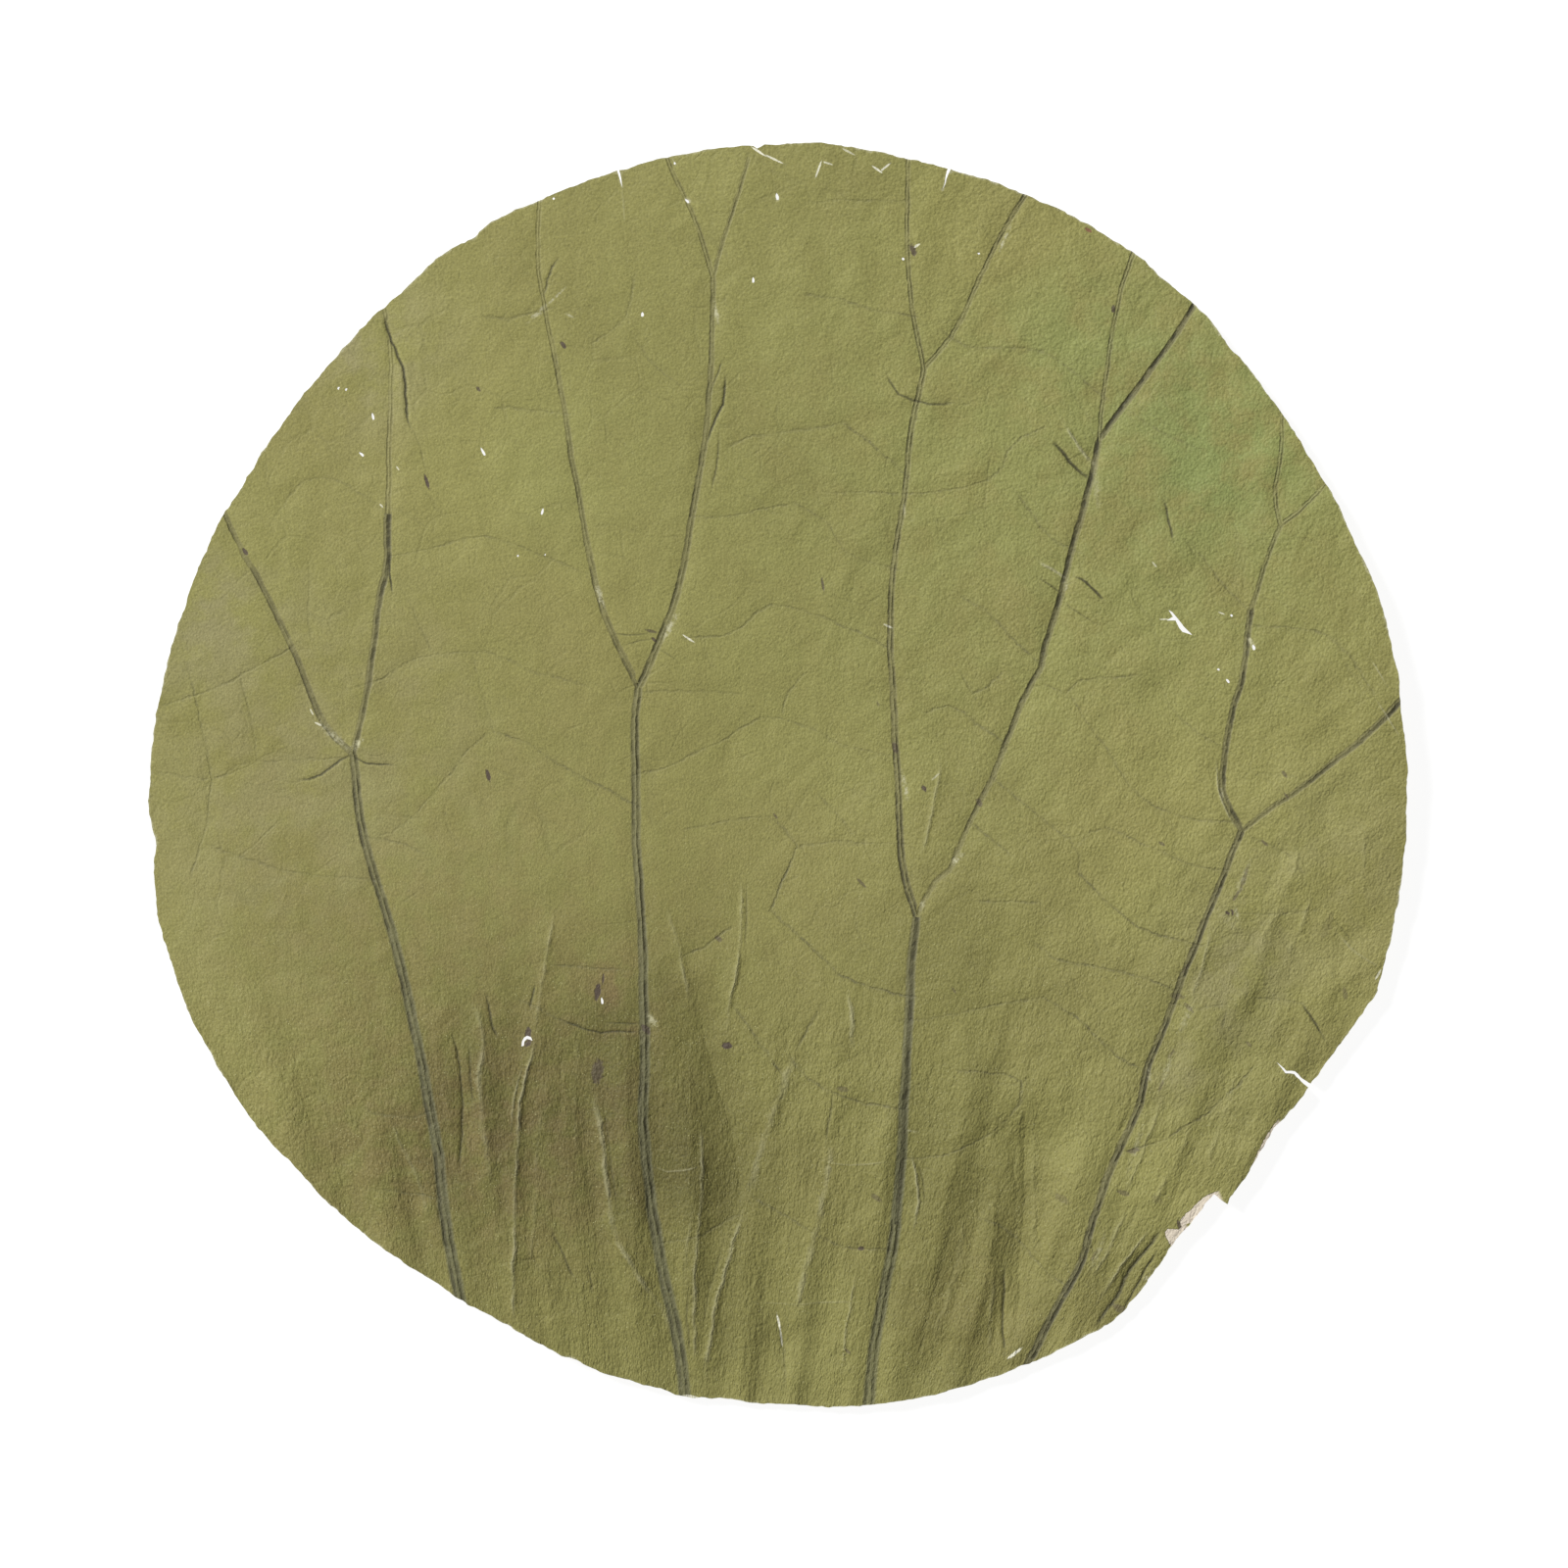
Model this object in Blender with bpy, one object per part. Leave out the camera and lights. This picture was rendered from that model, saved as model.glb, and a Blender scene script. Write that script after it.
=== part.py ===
"""Dried lotus leaf, trimmed to a round disc and laid flat with its upper face up.

Lengths are in millimetres here and become metres in the mesh. X runs to the leaf's right, Y towards
its far edge and Z up. The origin is under the middle of the disc, on the small flat spot of the
underside that the leaf rests on. The cut petiole would join the veins at PETIOLE, beyond the rim.
"""
import math
import random

import bmesh
import bpy
import numpy as np
from mathutils import Vector
from mathutils.geometry import delaunay_2d_cdt

MM = 0.001

# Blade
BLADE_THICKNESS = 0.68
LEAF_COLOUR = (0.283, 0.272, 0.100)
LEAF_ROUGHNESS = 0.8

# Resting spot, and the shallow dish that the blade makes round it
REST_RADIUS = 9.0
REST_BLEND = 7.0
DISH_RISE = 3.3
DISH_REACH = 36.0

# Broad waves of the dried blade: height at the rim, waves round the leaf, phase and power of radius
RIM_WAVES = [(0.8, 2, 0.6, 2), (0.7, 3, 2.1, 2), (0.6, 5, 0.4, 3), (0.35, 9, 1.3, 5)]

# Fan of soft wrinkles that spreads from the petiole over the near third of the leaf
PETIOLE = (-16.3, -240.0)
FAN_PITCH = 0.056
FAN_HEIGHT = 0.32
FAN_VARIES = 0.4
FAN_VARIES_ROUND = 23.0
FAN_VARIES_ALONG = 0.06
FAN_START = -20.0
FAN_FULL = -62.0
FAN_RAYS = 32

# Rim: radius at hand-set angles in degrees, joined by smooth steps, and scallops as height, count
# round the rim and phase
RIM_KNOTS = [
    (0, 99.5), (12, 99.3), (17, 99.2), (24, 98.4), (28, 98.6), (31, 98.2), (36, 98.4), (43, 98.8),
    (48, 99.8), (51, 99.8), (58, 100.5), (64, 100.4), (70, 100.2), (77, 100.0), (86, 100.6),
    (91, 100.2), (98, 100.0), (104, 99.5), (112, 99.1), (118.3, 99.1), (119.8, 98.2), (122, 98.6),
    (130, 97.8), (132, 97.2), (140, 96.8), (152, 96.8), (155, 97.5), (162, 98.0), (172, 98.9),
    (174, 99.4), (184, 100.2), (186, 99.4), (188, 100.3), (192, 101.0), (200, 100.9), (210, 100.0),
    (222, 98.4), (237, 97.0), (243, 97.1), (250, 98.1), (255, 98.8), (259, 99.1), (261, 99.7),
    (265, 99.3), (270, 99.8), (276, 100.7), (281, 101.2), (292, 101.4), (302, 101.5), (303, 101.0),
    (340, 100.8), (348, 100.2), (354, 99.8),
]
RIM_RADIUS = 100.0
RIM_PITCH = 2.4
RIM_SCALLOPS = [(0.05, 47, 0.3), (0.05, 71, 1.9), (0.05, 113, 0.7)]

# Torn near right corner, from the round rim at 303 degrees to the round rim at 340 degrees
TEAR = [
    (57.2, -82.0), (58.4, -80.2), (60.5, -77.6), (62.2, -74.7), (64.1, -72.3), (66.4, -69.6),
    (68.9, -66.3), (71.1, -68.0), (71.8, -66.7), (73.9, -63.8), (77.5, -57.8), (78.9, -55.4),
    (80.2, -54.4), (83.0, -50.9), (84.0, -49.5), (82.6, -48.1), (81.6, -47.3), (80.4, -47.1),
    (79.0, -45.4), (80.6, -46.7), (81.8, -46.9), (83.1, -47.9), (84.4, -48.9), (88.6, -43.2),
    (90.8, -40.1), (94.9, -34.4),
]
TEAR_ANGLES = (303.0, 340.5)

# Short splits in the rim: angle in degrees, depth and width at the mouth
RIM_SPLITS = [(74.4, 3.4, 0.4), (104.9, 2.6, 0.4)]

# Holes: centre, length, width and the direction of the length in degrees
HOLES = [
    ((-28.1, -35.7), 1.1, 0.4, 100), ((-64.5, 57.1), 1.2, 0.4, 102), ((-66.3, 51.1), 1.0, 0.4, 140),
    ((-47.0, 51.5), 1.5, 0.4, 118), ((-37.6, 42.0), 1.1, 0.4, 75), ((-14.6, 91.3), 0.9, 0.4, 131),
    ((-0.3, 91.9), 1.2, 0.5, 100), ((-4.1, 78.7), 0.9, 0.4, 90), ((-21.7, 73.3), 0.8, 0.5, 90),
    ((75.3, 20.4), 0.9, 0.5, 100), ((71.2, 15.1), 0.8, 0.4, 130),
]

# Torn holes with corners of their own: one with three prongs, and the slit round a lifted flap
STAR_TEAR = [
    (61.8, 26.4), (62.4, 26.1), (63.2, 25.1), (64.2, 23.8), (65.6, 22.4), (64.7, 22.7), (64.0, 22.9),
    (63.5, 23.5), (62.9, 24.7), (61.5, 24.7), (62.5, 25.3),
]
FLAP_TEAR = [
    (-40.9, -42.9), (-40.8, -42.1), (-40.5, -41.5), (-40.0, -41.2), (-39.4, -41.4), (-39.1, -42.0),
    (-39.6, -41.8), (-40.0, -41.7), (-40.4, -42.1), (-40.5, -42.8),
]

# Main veins: half width in millimetres at the start and the end, then the route from the near side
RIBS = [
    (0.95, 0.65, [(-49.8, -86.0), (-52.6, -70.4), (-55.8, -52.6), (-59.4, -34.2), (-63.6, -18.0),
                  (-66.6, -5.6), (-67.6, 3.4)]),
    (0.60, 0.40, [(-67.6, 3.4), (-73.1, 11.2), (-79.1, 23.2), (-84.7, 35.1), (-88.6, 43.6)]),
    (0.60, 0.45, [(-67.6, 3.4), (-65.9, 12.4), (-63.3, 28.0), (-61.9, 36.1), (-61.7, 54.7),
                  (-62.6, 75.4)]),
    (1.00, 0.65, [(-14.9, -100.2), (-18.3, -82.9), (-21.1, -63.4), (-21.3, -44.8), (-21.9, -24.6),
                  (-22.9, -1.2), (-22.5, 14.0)]),
    (0.55, 0.40, [(-22.5, 14.0), (-27.2, 24.4), (-29.7, 32.7), (-31.9, 47.0), (-34.2, 59.7),
                  (-38.1, 81.9), (-39.2, 92.4)]),
    (0.60, 0.45, [(-22.5, 14.0), (-17.3, 24.3), (-14.3, 36.1), (-12.3, 50.7), (-10.9, 65.6),
                  (-10.3, 79.1)]),
    (0.42, 0.38, [(-10.3, 79.1), (-13.8, 88.6), (-17.8, 98.6)]),
    (0.42, 0.38, [(-10.3, 79.1), (-7.5, 89.3), (-4.7, 100.4)]),
    (1.00, 0.65, [(14.1, -101.6), (16.2, -85.2), (19.1, -66.6), (20.1, -51.3), (20.7, -35.5),
                  (21.8, -22.4)]),
    (0.60, 0.45, [(21.8, -22.4), (19.3, -5.9), (17.9, 15.9), (18.0, 31.4), (20.5, 50.8),
                  (23.2, 64.8)]),
    (0.42, 0.38, [(23.2, 64.8), (20.8, 77.3), (20.6, 99.3)]),
    (0.42, 0.38, [(23.2, 64.8), (30.3, 76.2), (35.3, 85.2), (39.6, 92.9)]),
    (0.55, 0.50, [(21.8, -22.4), (27.5, -13.7), (33.7, -0.2), (38.4, 10.0), (42.3, 19.3),
                  (46.2, 31.1), (49.4, 44.6), (50.8, 52.9)]),
    (0.42, 0.38, [(50.8, 52.9), (52.2, 64.8), (56.6, 83.8)]),
    (0.50, 0.45, [(50.8, 52.9), (58.0, 63.1), (67.0, 75.8)]),
    (1.00, 0.65, [(38.8, -94.6), (47.1, -79.3), (50.7, -68.4), (55.8, -55.4), (61.1, -39.8),
                  (67.0, -24.3), (73.2, -8.7)]),
    (0.55, 0.42, [(73.2, -8.7), (70.6, -0.5), (72.8, 12.8), (75.1, 26.0), (79.6, 39.8)]),
    (0.40, 0.38, [(79.6, 39.8), (79.1, 47.7), (80.0, 58.2)]),
    (0.40, 0.38, [(79.6, 39.8), (87.0, 46.9)]),
    (0.50, 0.45, [(73.2, -8.7), (82.4, -0.5), (89.7, 4.5), (99.2, 12.7)]),
]

# Net of finer veins between the main ones
NET = [
    [(-67.6, 3.1), (-79.6, 2.3), (-91.7, 1.4)],
    [(-64.1, -16.3), (-74.2, -15.7), (-87.5, -12.8), (-93.0, -17.6)],
    [(-91.6, 12.0), (-90.2, -1.2), (-91.3, -11.2)],
    [(-76.5, 19.6), (-84.7, 15.9), (-94.9, 10.9)],
    [(-67.3, 47.3), (-73.9, 45.4), (-79.3, 40.4)],
    [(-61.1, 34.5), (-52.9, 37.3), (-44.3, 37.8), (-36.5, 34.2), (-29.7, 33.0)],
    [(-58.6, 17.1), (-51.6, 19.6), (-44.3, 18.2), (-38.4, 16.2)],
    [(-58.6, -7.2), (-52.9, -1.1), (-46.6, 7.3), (-36.5, 2.8), (-23.2, -4.0)],
    [(-59.6, 61.3), (-49.0, 61.0), (-39.7, 58.2), (-34.5, 59.7)],
    [(-49.0, 73.7), (-41.2, 73.4), (-37.2, 76.5)],
    [(-21.9, 0.3), (-11.4, 5.0), (-2.3, 9.3), (6.7, 6.1)],
    [(-11.7, 22.7), (-3.4, 26.4), (5.1, 26.0), (17.3, 21.3)],
    [(-9.3, 56.3), (0.8, 54.9), (10.4, 56.0), (20.1, 48.2)],
    [(6.2, 77.8), (13.2, 75.1), (21.0, 73.1)],
    [(17.1, 64.4), (22.1, 59.4), (30.3, 59.6)],
    [(0.5, -4.4), (3.3, -10.9), (-1.2, -21.5), (4.2, -26.9), (12.0, -32.3), (20.5, -36.4)],
    [(3.3, -10.9), (19.1, -11.5)],
    [(-33.7, 54.7), (-24.1, 51.3), (-12.3, 51.3)],
    [(26.0, 67.6), (38.9, 68.0), (45.9, 64.4), (51.5, 60.6)],
    [(21.0, 47.6), (31.9, 44.6), (41.5, 37.9)],
    [(24.9, 29.9), (31.9, 26.0), (39.3, 21.3)],
    [(17.9, 21.3), (26.4, 15.9), (35.3, 2.6), (40.9, -2.5), (44.0, -9.0)],
    [(42.3, 15.9), (48.2, 13.7), (57.1, 16.2), (63.9, 11.5), (70.8, 5.4)],
    [(50.5, 49.4), (56.4, 47.0), (61.4, 41.1), (65.3, 33.0)],
    [(75.4, 26.0), (81.9, 21.1), (91.7, 17.4)],
    [(44.0, -9.0), (47.7, -13.7), (53.6, -21.8), (66.2, -26.4)],
    [(20.7, -38.9), (32.3, -37.0), (42.5, -34.8), (49.3, -30.2), (63.3, -34.5)],
    [(42.5, -34.8), (49.9, -41.2), (58.3, -46.8)],
    [(19.6, -61.0), (29.5, -59.2), (35.6, -54.6), (38.4, -50.2)],
    [(55.2, -60.6), (63.3, -56.9), (73.2, -48.5)],
    [(63.4, -34.8), (77.0, -35.5), (85.7, -40.4)],
    [(69.2, -20.8), (76.2, -22.2), (83.8, -20.7)],
    [(-7.8, -37.8), (-0.8, -45.1), (8.6, -50.4), (20.1, -53.2)],
    [(19.6, -67.3), (8.6, -72.5), (-2.3, -75.1)],
    [(-21.1, -40.3), (-32.7, -38.6)],
    [(-53.6, -66.9), (-60.6, -65.9), (-66.1, -65.3)],
    [(-55.8, -52.6), (-60.6, -54.4), (-66.9, -52.9)],
]

# Creases: height of the crest, below zero for a valley, then the route
CREASES = [
    (0.45, [(-60.2, 69.5), (-59.6, 61.7), (-58.8, 56.3)]),
    (0.55, [(-37.2, -23.8), (-37.8, -37.0), (-40.7, -49.4), (-41.8, -66.6), (-42.3, -85.2)]),
    (0.50, [(-47.1, -40.1), (-46.6, -55.7), (-45.9, -66.6)]),
    (-0.40, [(-50.5, -43.2), (-49.8, -54.1), (-50.5, -64.2)]),
    (0.70, [(-29.4, -49.4), (-28.5, -56.4), (-26.9, -67.3), (-23.8, -79.0), (-19.7, -86.8)]),
    (0.60, [(-12.3, -55.7), (-12.9, -71.2), (-14.0, -85.2), (-13.2, -96.4)]),
    (0.60, [(-6.1, -69.7), (-9.6, -82.1), (-11.3, -97.3)]),
    (0.40, [(-17.3, -21.5), (-15.2, -33.1), (-14.2, -40.1)]),
    (0.35, [(-6.7, -19.9), (-6.7, -28.5), (-8.9, -40.1)]),
    (0.50, [(8.2, -48.7), (7.8, -58.8), (5.3, -72.8), (1.7, -90.7)]),
    (0.60, [(39.4, -46.3), (38.0, -57.2), (38.5, -69.7), (38.2, -82.1), (36.2, -93.3)]),
    (-0.50, [(34.6, -61.0), (35.3, -70.0), (35.0, -82.1), (33.4, -94.0)]),
    (0.45, [(82.4, -11.4), (78.2, -24.6), (72.9, -36.2), (70.4, -42.5)]),
    (-0.60, [(60.2, -72.5), (55.2, -79.3), (50.6, -86.4)]),
    (0.50, [(43.7, 55.5), (46.6, 50.4), (48.6, 48.0)]),
    (0.45, [(41.5, 34.5), (46.2, 31.4), (51.8, 27.7)]),
    (-0.35, [(-8.2, 64.8), (-8.9, 59.4), (-11.0, 54.8)]),
    (0.40, [(12.0, -77.4), (11.4, -86.8), (10.1, -98.0)]),
    (-0.35, [(-36.5, -38.6), (-35.0, -49.4), (-35.6, -61.9)]),
    (0.35, [(28.8, -33.9), (29.5, -41.7), (28.5, -49.4)]),
]

# Relief, as parts of a rib's half width or in millimetres
RIB_CREST_DROP = 0.12
RIB_FURROW_DROP = 0.40
RIB_SHOULDER = 3.2
RIB_BULGE = 0.80
NET_GROOVE = 0.16
NET_BULGE = 0.22
NET_REACH = 1.9
CREASE_REACH = 2.6

# Spacing of the mesh
ROUTE_STEPS = 12
RIB_PITCH = 3.3
LINE_PITCH = 3.6
FIELD_PITCH = 5.2
FIELD_PLAY = 0.6
FAN_REACH = 134.0
FAN_STEP = 4.6
FAN_STEPS = 21
HOLE_CORNERS = 8
HOLE_UNEVEN = 0.12

# Smallest gaps between a new point and those already placed
CREST_CLEARANCE = 0.9
SIDE_CLEARANCE = 0.36
LINE_CLEARANCE = 1.8
FIELD_CLEARANCE = 2.3


def smooth_step(value):
    """Ease from 0 at value 0 to 1 at value 1, flat at both ends."""
    clamped = np.clip(value, 0.0, 1.0)
    return clamped * clamped * (3.0 - 2.0 * clamped)


def smooth_route(points, pitch):
    """Points about a pitch apart along a Catmull-Rom curve through the given points."""
    ends = [Vector(points[0]) * 2 - Vector(points[1]), Vector(points[-1]) * 2 - Vector(points[-2])]
    knots = [ends[0]] + [Vector(point) for point in points] + [ends[1]]
    dense = []
    for a, b, c, d in zip(knots, knots[1:], knots[2:], knots[3:]):
        for step in range(ROUTE_STEPS):
            t = step / ROUTE_STEPS
            dense.append(0.5 * (2 * b + (c - a) * t + (2 * a - 5 * b + 4 * c - d) * t * t
                                + (3 * b - a - 3 * c + d) * t ** 3))
    dense.append(knots[-2])
    lengths = np.cumsum([0.0] + [(q - p).length for p, q in zip(dense, dense[1:])])
    stations = np.linspace(0.0, lengths[-1], max(2, round(lengths[-1] / pitch) + 1))
    xs = np.interp(stations, lengths, [point.x for point in dense])
    ys = np.interp(stations, lengths, [point.y for point in dense])
    return [Vector((x, y)) for x, y in zip(xs, ys)]


def rim_radius(degrees):
    """Radius of the round rim at an angle, with its small scallops."""
    knots = RIM_KNOTS + [(360 + RIM_KNOTS[0][0], RIM_KNOTS[0][1])]
    radius = knots[-1][1]
    for (start, low), (end, high) in zip(knots, knots[1:]):
        if start <= degrees <= end:
            radius = low + (high - low) * float(smooth_step((degrees - start) / (end - start)))
    angle = math.radians(degrees)
    for height, count, phase in RIM_SCALLOPS:
        radius += height * math.sin(count * angle + phase + math.sin(7 * angle))
    return radius


def rim_point(degrees, inset=0.0):
    """Point on the rim, or inside it by an inset."""
    radius = rim_radius(degrees) - inset
    angle = math.radians(degrees)
    return Vector((radius * math.cos(angle), radius * math.sin(angle)))


def rim_outline():
    """The whole rim, anticlockwise: the round part with its splits, then the torn corner."""
    pitch = math.degrees(RIM_PITCH / RIM_RADIUS)
    start, stop = TEAR_ANGLES[1] - 360.0, TEAR_ANGLES[0]
    angles = np.linspace(start, stop, round((stop - start) / pitch) + 1)
    stations = [(float(angle), 0.0) for angle in angles]
    for angle, depth, width in RIM_SPLITS:
        half = math.degrees(0.5 * width / RIM_RADIUS)
        stations = [entry for entry in stations if abs(entry[0] - angle) > pitch * 0.6]
        stations += [(angle - half, 0.0), (angle, depth), (angle + half, 0.0)]
    stations.sort()
    outline = [rim_point(angle % 360.0, inset) for angle, inset in stations]
    return outline + [Vector(point) for point in TEAR]


def hole_outline(centre, length, width, degrees):
    """Corners of a slightly uneven oval."""
    along = Vector((math.cos(math.radians(degrees)), math.sin(math.radians(degrees))))
    across = Vector((-along.y, along.x))
    corners = []
    for index in range(HOLE_CORNERS):
        angle = 2.0 * math.pi * index / HOLE_CORNERS
        swell = 1.0 + HOLE_UNEVEN * math.sin(3 * angle + length)
        corners.append(Vector(centre) + along * (0.5 * length * swell * math.cos(angle))
                       + across * (0.5 * width * swell * math.sin(angle)))
    return corners


def inside(point, outline):
    """Whether a point is inside a closed outline."""
    crossings = 0
    for p, q in zip(outline, outline[1:] + outline[:1]):
        if (p.y > point.y) != (q.y > point.y):
            if point.x < p.x + (point.y - p.y) / (q.y - p.y) * (q.x - p.x):
                crossings += 1
    return crossings % 2 == 1


def distance_to_routes(points, routes, widths):
    """For each point, the distance to the closest route and that route's width there.

    Closest is judged by distance over width, so a broad vein wins over a fine one near a fork.
    """
    best = np.full(len(points), np.inf)
    distance = np.full(len(points), np.inf)
    width_there = np.ones(len(points))
    for route, ends in zip(routes, widths):
        line = np.array([tuple(point) for point in route])
        spans = np.linspace(ends[0], ends[1], len(line))
        for a, b, width_a, width_b in zip(line, line[1:], spans, spans[1:]):
            along = b - a
            t = np.clip(((points - a) @ along) / (along @ along), 0.0, 1.0)
            gap = np.linalg.norm(points - (a + t[:, None] * along), axis=1)
            width = width_a + (width_b - width_a) * t
            closer = gap / width < best
            best[closer] = (gap / width)[closer]
            distance[closer] = gap[closer]
            width_there[closer] = width[closer]
    return distance, width_there


def blade_height(points):
    """Height of the blade's lower skin without veins: a flat spot, a shallow dish and waves."""
    x, y = points[:, 0], points[:, 1]
    angle = np.arctan2(y, x)
    out = np.maximum(np.hypot(x, y) - REST_RADIUS, 0.0)
    height = DISH_RISE * (1.0 - np.exp(-out / DISH_REACH))
    for size, count, phase, power in RIM_WAVES:
        height += size * (out / (RIM_RADIUS - REST_RADIUS)) ** power * np.sin(count * angle + phase)
    ray = np.arctan2(x - PETIOLE[0], y - PETIOLE[1])
    share = smooth_step((y - FAN_START) / (FAN_FULL - FAN_START))
    varies = FAN_VARIES * (np.sin(FAN_VARIES_ROUND * ray + FAN_VARIES_ALONG * y) - 1.0)
    return height + FAN_HEIGHT * share * (1.0 + varies) * np.sin(2.0 * math.pi * ray / FAN_PITCH)


def relief(points, ribs, net, creases):
    """Top and bottom relief of the veins and creases at each point."""
    gap, half_width = distance_to_routes(points, ribs, [(start, end) for start, end, _ in RIBS])
    share = gap / half_width
    crest, furrow = -RIB_CREST_DROP * half_width, -RIB_FURROW_DROP * half_width
    across = crest + (furrow - crest) * smooth_step(share)
    beyond = furrow * (1.0 - smooth_step((share - 1.0) / (RIB_SHOULDER - 1.0)))
    top = np.where(share < 1.0, across, beyond)
    bulge = RIB_BULGE * half_width * np.sqrt(np.clip(1.0 - share * share, 0.0, 1.0))

    gap, _ = distance_to_routes(points, net, [(1.0, 1.0)] * len(net))
    fade = 1.0 - smooth_step(gap / NET_REACH)
    top = np.minimum(top, -NET_GROOVE * fade)
    bulge = np.maximum(bulge, NET_BULGE * fade)

    for (height, _), route in zip(CREASES, creases):
        gap, _ = distance_to_routes(points, [route], [(1.0, 1.0)])
        top = top + height * (1.0 - smooth_step(gap / CREASE_REACH))
    return top, bulge


def keep_clear(candidates, kept, clearance):
    """The candidates that stay a clearance away from what is kept and from each other."""
    chosen = []
    taken = np.array([tuple(point) for point in kept])
    for candidate in candidates:
        spot = np.array([tuple(candidate)])
        if np.hypot(*(taken - spot).T).min() > clearance:
            chosen.append(candidate)
            taken = np.concatenate([taken, spot])
    return chosen


def rib_sides(ribs):
    """Points on both sides of each rib's crest, where its furrows run."""
    sides = []
    for (start, end, _), route in zip(RIBS, ribs):
        for index, point in enumerate(route):
            along = (route[min(index + 1, len(route) - 1)] - route[max(index - 1, 0)]).normalized()
            half = start + (end - start) * index / (len(route) - 1)
            across = Vector((-along.y, along.x)) * half
            sides += [point + across, point - across]
    return sides


def field_points():
    """Scatter for the smooth blade: loose hexagons, and rays on the fan's crests and valleys."""
    rng = random.Random(7)
    row_pitch = FIELD_PITCH * math.sqrt(0.75)
    rows, columns = round(RIM_RADIUS / row_pitch), round(RIM_RADIUS / FIELD_PITCH)
    points = []
    for row in range(-rows, rows + 1):
        for column in range(-columns, columns + 1):
            x = (column + 0.5 * (row % 2)) * FIELD_PITCH + rng.uniform(-FIELD_PLAY, FIELD_PLAY)
            y = row * row_pitch + rng.uniform(-FIELD_PLAY, FIELD_PLAY)
            if y > FAN_START - 2.0 * FIELD_PITCH:
                points.append(Vector((x, y)))
    for ray in range(-FAN_RAYS, FAN_RAYS):
        angle = (ray + 0.5) * FAN_PITCH / 2.0
        for step in range(FAN_STEPS):
            reach = FAN_REACH + FAN_STEP * (step + 0.5 * (ray % 2))
            point = Vector(PETIOLE) + Vector((math.sin(angle), math.cos(angle))) * reach
            if point.y <= FAN_START - 2.0 * FIELD_PITCH:
                points.append(point)
    return points


def plan_points(outline, holes, ribs, net, creases):
    """All points of the blade in plan: the outline and the holes first, then what they leave free."""
    kept = outline + [corner for hole in holes for corner in hole]
    groups = [
        ([point for route in ribs for point in route], CREST_CLEARANCE),
        (rib_sides(ribs), SIDE_CLEARANCE),
        ([point for route in net + creases for point in route], LINE_CLEARANCE),
        (field_points(), FIELD_CLEARANCE),
    ]
    for points, clearance in groups:
        kept += keep_clear([point for point in points if inside(point, outline)], kept, clearance)
    return kept


def plan_triangles(points, outline, holes):
    """One triangulation of the blade in plan, open at its holes."""
    edges = []
    start = 0
    for loop in [outline] + holes:
        loop_indices = range(start, start + len(loop))
        edges += [(index, start + (index - start + 1) % len(loop)) for index in loop_indices]
        start += len(loop)
    rim = list(range(len(outline)))
    plan, _, triangles, _, _, _ = delaunay_2d_cdt(points, edges, [rim], 1, 1e-6)
    solid = []
    for triangle in triangles:
        middle = sum((plan[index] for index in triangle), Vector((0.0, 0.0))) / 3.0
        if not any(inside(middle, hole) for hole in holes):
            solid.append(triangle)
    return plan, solid


def leaf_mesh():
    """The closed leaf: the same triangles on both faces, joined round the rim and the holes."""
    outline = rim_outline()
    holes = [hole_outline(*hole) for hole in HOLES]
    holes += [[Vector(point) for point in tear] for tear in (STAR_TEAR, FLAP_TEAR)]
    ribs = [smooth_route(route, RIB_PITCH) for _, _, route in RIBS]
    net = [smooth_route(route, LINE_PITCH) for route in NET]
    creases = [smooth_route(route, LINE_PITCH) for _, route in CREASES]
    points = plan_points(outline, holes, ribs, net, creases)
    plan, triangles = plan_triangles(points, outline, holes)

    flat = np.array([tuple(point) for point in plan])
    top_relief, bulge = relief(flat, ribs, net, creases)
    beyond_rest = smooth_step((np.hypot(*flat.T) - REST_RADIUS) / REST_BLEND)
    top = blade_height(flat) + top_relief * beyond_rest + BLADE_THICKNESS
    bottom = top - BLADE_THICKNESS - bulge * beyond_rest

    bm = bmesh.new()
    top_height = bm.verts.layers.float.new("top_height")
    for (x, y), low, high in zip(flat, bottom, top):
        vert = bm.verts.new((x * MM, y * MM, low * MM))
        vert[top_height] = high * MM
    bm.verts.ensure_lookup_table()
    for triangle in triangles:
        bm.faces.new([bm.verts[index] for index in triangle])
    raised = bmesh.ops.extrude_face_region(bm, geom=bm.faces[:])["geom"]
    for vert in raised:
        if isinstance(vert, bmesh.types.BMVert):
            vert.co.z = vert[top_height]
    bmesh.ops.triangulate(bm, faces=[face for face in bm.faces if len(face.verts) > 3])
    bmesh.ops.recalc_face_normals(bm, faces=bm.faces[:])
    bm.verts.layers.float.remove(top_height)
    mesh = bpy.data.meshes.new("leaf")
    bm.to_mesh(mesh)
    bm.free()
    return mesh


def leaf_material():
    """Matte olive green of the upper face."""
    material = bpy.data.materials.new("dried_leaf")
    material.use_nodes = True
    shader = material.node_tree.nodes["Principled BSDF"]
    shader.inputs["Base Color"].default_value = (*LEAF_COLOUR, 1.0)
    shader.inputs["Roughness"].default_value = LEAF_ROUGHNESS
    shader.inputs["Metallic"].default_value = 0.0
    return material


def main():
    for item in list(bpy.data.objects):
        bpy.data.objects.remove(item, do_unlink=True)
    mesh = leaf_mesh()
    mesh.materials.append(leaf_material())
    mesh.shade_smooth()
    leaf = bpy.data.objects.new("leaf", mesh)
    bpy.context.scene.collection.objects.link(leaf)


main()
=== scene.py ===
import math

import bmesh
import bpy
import numpy as np
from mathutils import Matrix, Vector, noise


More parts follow.
